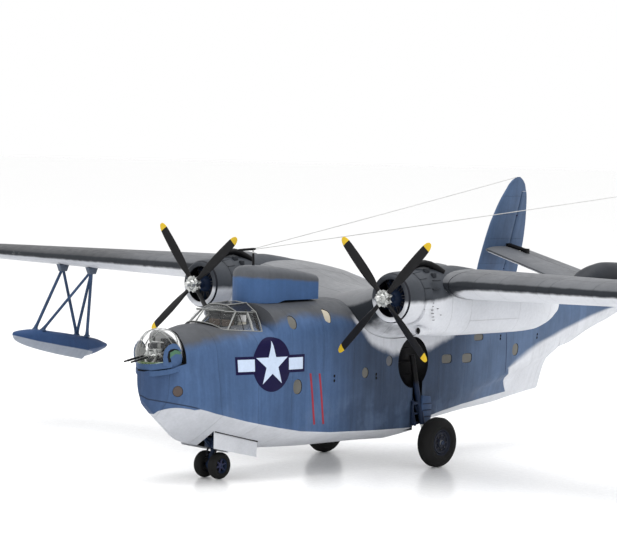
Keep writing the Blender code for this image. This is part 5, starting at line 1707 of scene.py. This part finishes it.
def make_nose_door(name, side):
    """A white door whose inner panel is black as painted shade, with three hinges and a wavy seal along its
    upper edge.
    """
    corners = ((10.9, 27.9, 19.5), (8.9, 53.0, 13.9), (7.7, 54.0, 7.6), (8.7, 30.2, 12.5))
    inset = zip(corners, (0.9, -0.9, -1.2, 0.9), (-0.9, -0.7, 0.6, 0.7))
    panel = [(x, s + shift, z + rise) for (x, s, z), shift, rise in inset]
    parts = [(slab(corners, side, 0.0, 0.3), 0), (slab(panel, side, 0.3, 0.6), 1)]

    def upper_edge(share):
        return tuple(a + (b - a) * share for a, b in zip(corners[0], corners[1]))

    for share in (0.15, 0.5, 0.85):
        x, s, z = upper_edge(share)
        hinge = block((side * (x - 1.4), s - 0.7, z - 1.3), (side * (x - 0.7), s + 0.7, z + 0.4), 0.1)
        parts.append((hinge, 1))
    seal = []
    for i, (x, s, z) in enumerate(upper_edge(t) for t in steps(0, 1, 8)):
        seal.append((side * (x + 0.4 + 0.7 * math.sin(math.pi * i / 7)), s, z - 0.25))
    parts.append((tube(seal, 0.26, 8), 1))
    piece(
        f"nose_door_detail_{name}", gather(*parts), "airframe", [white_paint, black_and_shade_paint],
        (f"nose_door_{name}",), 40,
    )


def make_nose_gear():
    make_nose_wheels()
    make_nose_leg()
    for name, side in SIDES:
        make_nose_door(name, side)


# Turrets and cockpit
def bowl(centre, radius, wall, reach, axis=(0, 0, 1), segments=64):
    """A part of a thin ball, out to an angle from its axis."""
    angles = steps(0.0, reach, 28)
    outer = [(radius * math.sin(a), radius * math.cos(a)) for a in angles]
    angles = steps(reach, 0.0, 28)
    inner = [((radius - wall) * math.sin(a), (radius - wall) * math.cos(a)) for a in angles]
    return turned(outer + inner, centre, axis, segments)


def arc_band(centre, radius, wide, thick, first, last, across, up):
    """A strip bent round a ball, from one angle to another in the plane of across and up."""
    across, up = Vector(across).normalized(), Vector(up).normalized()
    side = across.cross(up)
    middle = at(*centre)
    corners = (
        (radius, -wide / 2), (radius, wide / 2), (radius - thick, wide / 2), (radius - thick, -wide / 2),
    )
    rings = []
    for angle in steps(math.radians(first), math.radians(last), 40):
        way = across * math.cos(angle) + up * math.sin(angle)
        rings.append([middle + (way * r + side * w) * MM for r, w in corners])
    return loft(rings)


def gun(x, station, z, tip, body_length=7.0, drop=0.0):
    """A machine gun: receiver, cooling jacket and barrel, pointing towards tip."""
    way = 1 if tip > station else -1

    def spot(distance):
        share = distance / abs(tip - station)
        return (x, station + way * distance, z - drop * share)

    reach = abs(tip - station)
    return [
        (tube([spot(0), spot(body_length)], 0.75, 4, 1.35, (0, 0, 1)), 0),
        (tube([spot(body_length - 0.2), spot(body_length + 1.2)], [0.6, 0.45], 14), 0),
        (tube([spot(body_length + 1.0), spot(reach - 1.6)], 0.42, 14), 1),
        (tube([spot(reach - 1.8), spot(reach)], [0.3, 0.34], 14), 1),
    ]


def make_nose_dome():
    """The clear ball, the thin frames inside it, and the pale shade behind the gunner."""
    dome = bowl(BALL, BALL_RADIUS, 0.35, math.radians(118), (0, -0.42, 0.91))
    piece("nose_dome_glass", dome, "nose_turret", [clear_paint], ("nose_turret_dome",), 60)
    frames = []
    for lean in (-0.62, -0.30, 0.30, 0.62):
        shift = math.sin(lean) * 0.55
        frames.append(arc_band(
            (BALL[0] + BALL_RADIUS * math.sin(lean) * 0.55, BALL[1], BALL[2]),
            BALL_RADIUS * math.sqrt(1 - shift ** 2) - 0.1, 0.2, 0.2, -8, 118, (0, -1, 0), (0, 0, 1),
        ))
    for first, last, tilt in ((10, 170, -0.35), (8, 172, 0.35)):
        frames.append(arc_band(
            BALL, BALL_RADIUS - 0.05, 0.22, 0.2, first, last, (1, 0, 0), (0, tilt, 0.94)
        ))
    piece("nose_dome_frames", gather(*frames), "nose_turret", [frame_paint])
    shell = bowl(BALL, BALL_RADIUS - 0.45, 0.3, math.radians(66), (0, 0.86, 0.5), 48)
    piece("nose_dome_back", shell, "nose_turret", [pale_cloth_paint], (), 60)


def make_nose_guns():
    """The two guns with their feeds, and the mount, ring and gunner's place round them."""
    parts = []
    for x in (1.8, -1.8):
        parts += gun(x, 12.6, 49.4, -6.5, 8.4, 3.4)
        parts.append((block((x - 0.5, 5.2, 48.6), (x + 0.5, 10.6, 50.4), 0.15), 0))
        parts.append((tube([(x * 1.9, 10.0, 46.0), (x * 1.7, 7.4, 47.6), (x * 1.1, 6.4, 48.6)], 0.5, 10), 0))
    base = ((0.0, 0.0), (7.9, 0.0), (8.0, 0.5), (7.6, 0.7), (0.0, 0.7))
    parts += [
        (block((-4.2, 7.4, 45.4), (4.2, 8.8, 46.4), 0.2), 2),
        (block((-4.6, 9.6, 44.2), (-3.0, 12.4, 50.2), 0.25), 3),
        (block((3.0, 9.6, 44.2), (4.6, 12.4, 50.2), 0.25), 3),
        (block((-0.7, 4.6, 50.2), (0.7, 7.6, 52.4), 0.2), 2),
        (tube([(0, 4.0, 51.6), (0, 4.6, 51.6)], 0.9, 20), 2),
        (tube([(-3.0, 8.4, 52.6), (3.0, 8.4, 52.6)], 0.3, 10), 0),
        (tube([(-5.6, 9.3, 48.7), (5.6, 9.3, 48.7)], 0.45, 12), 2),
        (hoop(2.4, 3.1, -0.2, 0.2, (0, 4.8, 47.6), (0, -1, 0.2), 28), 0),
        (turned(base, (0, 9.3, 43.9), (0, 0, 1), 48), 4),
        (hoop(7.5, 8.15, 0.0, 1.5, (0, 9.3, 44.2), (0, 0, 1), 48), 3),
        (block((-3.4, 12.8, 45.0), (3.4, 14.8, 53.6), 0.4), 1),
        (tube([(0.0, 7.0, 44.6), (2.6, 9.0, 50.6), (4.4, 10.4, 54.4)], 0.55, 10), 1),
        (tube([(0.0, 7.0, 44.6), (-2.6, 9.0, 50.6), (-4.4, 10.4, 54.4)], 0.55, 10), 1),
        (block((-3.2, 9.6, 44.6), (3.2, 12.6, 49.4), 0.5), 1),
        (block((-1.3, 3.4, 47.0), (1.3, 6.2, 49.4), 0.3), 0),
        (block((4.6, 9.8, 45.0), (6.6, 11.8, 50.4), 0.3), 3),
        (block((-2.2, 11.4, 45.4), (2.2, 12.9, 50.0), 0.4), 4),
    ]
    piece(
        "nose_guns_detail", gather(*parts), "nose_turret",
        [silver_paint, black_and_shade_paint, steel_paint, green_paint, olive_paint],
        ("nose_guns",), 40,
    )


CHEEK_ARCH = (
    (4.0, 44.6), (3.4, 47.6), (3.6, 49.8), (4.4, 51.2), (5.7, 52.3), (7.4, 52.8), (9.0, 52.4), (10.3, 51.2),
    (11.2, 49.6), (10.0, 49.9), (9.1, 50.6), (7.6, 50.9), (6.0, 50.7), (5.1, 49.9), (4.7, 47.9), (5.4, 46.0),
    (6.6, 44.3),
)
CHEEK_TONGUE = (
    (7.6, 43.6), (6.5, 46.1), (5.8, 47.9), (6.0, 49.2), (6.6, 49.7), (7.6, 49.85), (8.9, 49.6), (10.0, 49.0),
    (10.9, 49.0), (11.6, 47.3), (11.7, 45.1), (10.8, 43.7), (8.4, 42.9),
)
CHEEK_BACK = (
    (5.0, 44.0), (4.3, 47.6), (4.7, 50.4), (6.0, 51.6), (9.4, 51.4), (11.4, 48.6), (11.6, 44.4), (8.4, 43.2),
)
CHEEK_RIM = (
    (5.7, 47.5), (5.7, 49.5), (7.6, 50.4), (9.8, 50.0), (10.8, 49.1), (9.8, 48.7), (8.0, 49.0), (6.6, 48.3),
)


def make_turret_cheek(name, side):
    """The curved bracket beside the ball: an arch and a tongue, a backing and an edge between them."""
    # The photo shows no starboard cheek past the dome, so that one lies closer to it.
    around = BVHTree.FromBMesh(ball(BALL, 10.1 if side > 0 else 9.65, 96, 48))
    shoot = from_side(side)
    cheek = draped([CHEEK_ARCH, CHEEK_TONGUE], around, shoot, 0.0, 0.3, 0.8)
    back = draped([CHEEK_BACK], around, shoot, -0.3, 0.12, 0.8)
    rim = draped([CHEEK_RIM], around, shoot, 0.05, 0.2, 0.8)
    # On port the backing is black, painted shade behind the arch; on starboard it is pale.
    back_paint = black_and_shade_paint if side > 0 else pale_cloth_paint
    piece(
        f"turret_cheek_detail_{name}", gather((cheek, 0), (back, 1), (rim, 2)), "airframe",
        [blue_paint, back_paint, rim_green_paint], (f"turret_cheek_{name}",), 40,
    )


def belt_reach(angle):
    """How far the belts stand from the ball's axis, more so at its sides."""
    return 8.3 + 1.7 * abs(math.cos(angle)) ** 6


def make_turret_belts():
    """The two belts round the front of the ball, and the pale rim on the upper one."""
    for label, first, last, low, low_slope, high, high_slope, deep in (
        ("upper", 194, 346, 42.2, 0.23, 44.6, 0.20, 0.75), ("lower", 162, 378, 39.8, 0.24, 41.85, 0.22, 1.0),
    ):
        section = ((0.0, 0.1), (0.0, 0.9), (-0.2, 1.0), (-0.75, 1.0), (-deep, 0.5), (-deep, 0.0), (-0.2, 0.0))
        rings = []
        for angle in steps(math.radians(first), math.radians(last), 64):
            reach = belt_reach(angle)
            aft = BALL[1] + reach * math.sin(angle) + 0.9
            bottom, top = low + low_slope * aft, high + high_slope * aft
            rings.append([
                at(
                    (reach + shift) * math.cos(angle), BALL[1] + (reach + shift) * math.sin(angle),
                    bottom + share * (top - bottom),
                )
                for shift, share in section
            ])
        piece(f"turret_belt_{label}", loft(rings), "airframe", [blue_paint])
    rim = []
    for angle in steps(math.radians(196), math.radians(344), 48):
        reach = belt_reach(angle) - 0.45
        station = BALL[1] + reach * math.sin(angle)
        rim.append((reach * math.cos(angle), station, 44.62 + 0.20 * (station + 0.9)))
    piece("turret_rim", tube(rim, 0.24, 8), "airframe", [pale_green_paint])


def make_nose_turret():
    make_nose_dome()
    make_nose_guns()
    for name, side in SIDES:
        make_turret_cheek(name, side)
    make_turret_belts()


def make_dorsal_turret():
    crown = 67.5
    centre = (0, DORSAL_STATION, crown + 1.2)
    body = "dorsal_turret"
    ring = ((5.6, -1.2), (7.5, -1.2), (7.5, -0.2), (7.2, 0.3), (6.9, 0.55), (5.6, 0.55))
    piece(
        "dorsal_ring_detail", turned(ring, (0, DORSAL_STATION, crown + 0.6), (0, 0, 1), 72), "airframe",
        [dark_paint], ("dorsal_ring",),
    )
    piece(
        "dorsal_dome_glass", bowl(centre, 6.4, 0.3, math.radians(87)), body, [clear_paint],
        ("dorsal_turret_dome",), 60,
    )
    parts = [(hoop(5.9, 6.5, -0.35, 0.5, centre, (0, 0, 1), 64), 0)]
    for shift in (-2.9, 2.9):
        middle, radius = (shift, *centre[1:]), math.sqrt(6.4**2 - shift**2) + 0.05
        parts.append((arc_band(middle, radius, 0.4, 0.35, 0, 180, (0, -1, 0), (0, 0, 1)), 0))
    parts += [
        (arc_band(centre, 6.45, 0.4, 0.35, 0, 180, (1, 0, 0), (0, 0, 1)), 0),
        (hoop(0.0, 5.4, 0.0, 0.5, (0, DORSAL_STATION, crown + 0.7), (0, 0, 1), 40), 1),
        (block((-1.4, 192.6, crown + 1.0), (1.4, 195.0, crown + 4.4), 0.4), 2),
        (block((-3.2, 195.4, crown + 1.4), (3.2, 197.4, crown + 2.6), 0.25), 1),
        (block((-0.6, 197.0, crown + 3.6), (0.6, 198.6, crown + 5.2), 0.2), 2),
    ]
    piece(
        "dorsal_turret_inside", gather(*parts), body, [frame_paint, green_paint, olive_paint]
    )
    for name, side in SIDES:
        piece(
            f"dorsal_gun_detail_{name}", gather(*gun(side * 2.2, 196.4, 70.63, 209.0, 5.0, -1.03)), body,
            [silver_paint, black_and_shade_paint], (f"dorsal_gun_{name}",), 40,
        )


def make_tail_turret():
    _, station, height = TAIL_BALL
    body = "tail_turret"
    piece(
        "tail_dome_glass", bowl(TAIL_BALL, 6.2, 0.3, math.radians(122), (0, 1, 0)), body, [clear_paint],
        ("tail_turret_dome",), 60,
    )
    parts = [(hoop(5.2, 5.75, -0.4, 0.2, (0, 324.3, height), (0, 1, 0), 56), 0)]
    for lean in (-2.6, 2.6):
        radius = math.sqrt(6.2**2 - lean**2) + 0.03
        middle = (lean, station, height)
        parts.append((arc_band(middle, radius, 0.4, 0.35, -110, 110, (0, 1, 0), (0, 0, 1)), 0))
    parts += [
        (arc_band(TAIL_BALL, 6.23, 0.4, 0.35, -110, 110, (0, 1, 0), (1, 0, 0)), 0),
        (block((-3.0, 323.4, 62.6), (3.0, 325.6, 66.6), 0.4), 1),
        (block((-1.2, 325.0, 66.4), (1.2, 326.6, 68.4), 0.3), 2),
        (block((-4.0, 325.2, 64.0), (4.0, 326.4, 65.2), 0.2), 2),
    ]
    piece(
        "tail_turret_inside", gather(*parts), body, [frame_paint, green_paint, steel_paint]
    )
    for name, side in SIDES:
        piece(
            f"tail_gun_detail_{name}", gather(*gun(side * 1.9, 325.4, height, 338.0, 4.6)), body,
            [silver_paint, black_and_shade_paint], (f"tail_gun_{name}",), 40,
        )


# The canopy's rows of corners, from the middle to port.
CANOPY_ROWS = (
    ((0.0, 27.6, 59.7), (3.6, 28.3, 59.5), (6.6, 29.6, 58.9), (8.7, 30.7, 58.0), (10.1, 31.7, 57.1)),
    ((0.0, 31.6, 63.8), (4.4, 32.4, 63.9), (7.4, 35.4, 63.5), (9.4, 34.6, 60.4), (11.4, 33.2, 56.9)),
    ((0.0, 39.3, 65.6), (4.4, 39.3, 65.3), (9.0, 39.6, 63.4), (11.4, 39.2, 60.2), (13.4, 38.8, 56.6)),
    ((0.0, 48.6, 66.6), (5.0, 49.6, 66.0), (9.2, 50.4, 62.8), (12.4, 49.2, 59.4), (15.7, 47.2, 56.1)),
)


def strip(points, wide=0.55, thick=0.5):
    """A flat bar along points."""
    return tube(points, wide / 2, 8, thick / wide)


def raised(points, up):
    return [(x, s, z + up) for x, s, z in points]


def between(a, b, t):
    return tuple(p + (q - p) * t for p, q in zip(a, b))


def make_canopy_glass(rows):
    bm = bmesh.new()
    grid = [[bm.verts.new(at(*point)) for point in row] for row in rows]
    for first, second in zip(grid, grid[1:]):
        for i in range(len(first) - 1):
            bm.faces.new((first[i], first[i + 1], second[i + 1], second[i]))
    bmesh.ops.recalc_face_normals(bm, faces=bm.faces)
    if sum(face.normal.z for face in bm.faces) < 0:
        bmesh.ops.reverse_faces(bm, faces=bm.faces)
    bmesh.ops.solidify(bm, geom=bm.faces, thickness=0.35 * MM)
    piece("canopy_glass", bm, "airframe", [canopy_glass], ("canopy",), 20)


def make_canopy_frames(rows):
    """The bars between the panes, and black strips of painted shadow beside some of them."""
    bars, dark = [strip(rows[3], 0.6)], [strip(raised(rows[0], -0.35), 0.5)]
    for row in rows[1:3]:
        bars.append(strip(raised(row[2:7], 0.25), 0.45))
    for column in (0, 8):
        bars.append(strip([row[column] for row in rows], 0.6))
    for column in (2, 6):
        bars.append(strip([row[column] for row in rows[1:]], 0.55))
    bars.append(strip([rows[0][4], rows[1][4]], 0.5))
    bars.append(strip(rows[0], 0.4))
    for column in (3, 5):
        bars.append(strip(raised([row[column] for row in rows[2:]], 0.35), 0.4))
    for a, b in ((6, 8), (2, 0)):
        post = [rows[2][a], rows[1][b]]
        bars.append(strip(post, 0.7))
        dark.append(strip([(x, s + 0.45, z) for x, s, z in post], 0.5))
        for share, wide, bag in ((0.12, 0.35, dark), (0.56, 0.9, bars), (0.86, 1.1, dark)):
            run = [between(rows[2][column], rows[3][column], share) for column in (a, (a + b) // 2, b)]
            bag.append(strip([(x * 0.985, s, z) for x, s, z in run], wide, 0.4))
    for column in (6, 2):
        bars.append(strip(raised([rows[2][4], rows[3][column]], 0.35), 0.35))
    piece(
        "canopy_frames", gather(*[(bar, 0) for bar in bars], *[(bar, 1) for bar in dark]), "airframe",
        [frame_paint, black_and_shade_paint], (), 60,
    )


def make_canopy():
    rows = [[(-x, s, z) for x, s, z in reversed(row[1:])] + list(row) for row in CANOPY_ROWS]
    make_canopy_glass(rows)
    make_canopy_frames(rows)
    roof = []
    for first in (2, 3, 4, 5):
        second = first + 1
        corners = raised([rows[2][first], rows[2][second], rows[3][second], rows[3][first]], 0.12)
        roof.append(loft([[at(*p) for p in corners], [at(*p) for p in raised(corners, -0.25)]]))
    piece("canopy_roof_panes", gather(*roof), "airframe", [roof_pane_paint])


def cockpit_seat(side):
    """One pilot's place: seat, back and head rest, pale panels behind it, and the control column."""
    x = side * 4.9
    left, right = x - 3.2 - 1.6 * side, x + 2.6 - 1.6 * side
    parts = [
        (block((x - 2.5, 37.2, 51.4), (x + 2.5, 41.8, 53.0), 0.5, 3), 1),
        (block((x - 2.4, 41.2, 52.6), (x + 2.4, 42.6, 57.4), 0.55, 3), 1),
        (block((left, 40.9, 57.4), (right, 42.2, 60.1), 0.5, 3), 1),
        (block((left, 40.8, 60.2), (right, 42.3, 62.7), 0.4, 3), 2),
        (block((7.0 * side - 2.0, 44.9, 59.4), (7.0 * side + 2.0, 45.5, 62.0), 0.2), 4),
        (block((7.0 * side - 2.0, 44.9, 55.9), (7.0 * side + 2.0, 45.5, 59.3), 0.2), 5),
        (block((x - 2.0, 38.0, 49.9), (x + 2.0, 41.4, 51.5), 0.1), 0),
        (tube([(x, 34.6, 50.0), (x, 33.8, 54.6)], 0.35, 10), 2),
        (hoop(1.5, 1.85, -0.18, 0.18, (x, 33.8, 55.0), (0, -1, 0.35), 28), 2),
        (tube([(x - 1.5, 33.8, 55.0), (x + 1.5, 33.8, 55.0)], 0.16, 8), 2),
    ]
    for column in (-2.4, 0.0, 2.4):
        for z in (53.4, 55.8):
            parts.append((hoop(0.0, 0.8, -0.1, 0.15, (x + column * 0.9, 32.1, z), (0, 1, 0), 16), 3))
    parts.append((block((side * 8.0, 33.4, 50.0), (side * 8.6, 45.0, 56.0), 0.1), 0))
    return parts


def make_cockpit():
    floor = (
        (-8.6, 46.4), (-8.6, 33.1), (-8.1, 31.8), (-5.8, 30.4), (-2.9, 29.2), (2.9, 29.2), (5.8, 30.4),
        (8.1, 31.8), (8.6, 33.1), (8.6, 46.4),
    )
    parts = [
        (upright(floor, 48.3, 50.0), 0),
        (block((-8.3, 45.6, 49.8), (8.3, 46.5, 64.0), 0.2), 0),
        (block((-7.6, 30.9, 49.6), (7.6, 32.0, 57.4), 0.4), 2),
        (block((-2.2, 32.0, 49.8), (2.2, 36.2, 53.6), 0.4), 0),
        *cockpit_seat(1), *cockpit_seat(-1),
    ]
    piece(
        "cockpit_detail", gather(*parts), "airframe",
        [shade_green_paint, olive_paint, black_and_shade_paint, silver_paint, pale_cloth_paint, beige_paint],
        ("cockpit_interior",), 40,
    )


# Camera, light, and the making of it all
def make_camera():
    """The photograph's own view, as fitted to the model's known sizes."""
    azimuth, elevation, roll = (math.radians(v) for v in (42.741, 2.565, 1.391))
    back = Vector((
        math.sin(azimuth) * math.cos(elevation), -math.cos(azimuth) * math.cos(elevation), math.sin(elevation)
    ))
    right = Vector((math.cos(azimuth), math.sin(azimuth), 0))
    up = back.cross(right)
    right, up = right * math.cos(roll) + up * math.sin(roll), up * math.cos(roll) - right * math.sin(roll)
    data = bpy.data.cameras.new("camera")
    data.sensor_width = 36.0
    data.lens = 142.03
    data.clip_start = 0.01
    data.clip_end = 50.0
    camera = bpy.data.objects.new("camera", data)
    bpy.context.scene.collection.objects.link(camera)
    matrix = Matrix((right, up, back)).transposed().to_4x4()
    matrix.translation = Vector((0.646336, -0.776195, 0.121797))
    camera.matrix_world = matrix
    bpy.context.scene.camera = camera


def make_stage():
    """A white floor under a white sky, with one lamp overhead and two in front."""
    mesh = bpy.data.meshes.new("floor")
    reach = 40.0
    corners = [(-reach, -reach, 0), (reach, -reach, 0), (reach, reach, 0), (-reach, reach, 0)]
    mesh.from_pydata(corners, [], [(0, 1, 2, 3)])
    floor = bpy.data.objects.new("floor", mesh)
    floor.location.z = -0.00002
    bpy.context.scene.collection.objects.link(floor)
    paint = Paint("floor_white", 0.22)
    mesh.materials.append(paint.done(paint.aged((0.97, 0.97, 0.97), 0.005), grain=0.0, spread=0.02))
    bpy.context.scene.view_settings.view_transform = "Standard"
    world = bpy.data.worlds.new("studio")
    bpy.context.scene.world = world
    world.use_nodes = True
    world.node_tree.nodes["Background"].inputs[0].default_value = (1.0, 1.0, 1.0, 1.0)
    world.node_tree.nodes["Background"].inputs[1].default_value = 1.0
    for name, place, size, power in (
        ("overhead", (0.1, 0.1, 1.5), 1.6, 17.0),
        ("front_left", (-0.3, -1.4, 0.6), 0.9, 1.5),
        ("front_right", (1.4, -0.3, 0.9), 0.9, 3.0),
    ):
        data = bpy.data.lights.new(name, "AREA")
        data.shape = "DISK"
        data.size = size
        data.energy = power
        light = bpy.data.objects.new(name, data)
        light.location = place
        light.rotation_mode = "QUATERNION"
        light.rotation_quaternion = (Vector(place) - Vector((0, 0, 0.05))).to_track_quat("Z", "Y")
        bpy.context.scene.collection.objects.link(light)


make_camera()
make_stage()
hull_tree = make_hull()
make_markings(hull_tree)
make_wings()
make_nacelles()
make_radome()
make_mast()
make_tail_plane()
make_tail_fairing()
make_tail_brackets()
make_fins()
make_floats()
make_main_gear()
make_nose_gear()
make_nose_turret()
make_dorsal_turret()
make_tail_turret()
make_canopy()
make_cockpit()
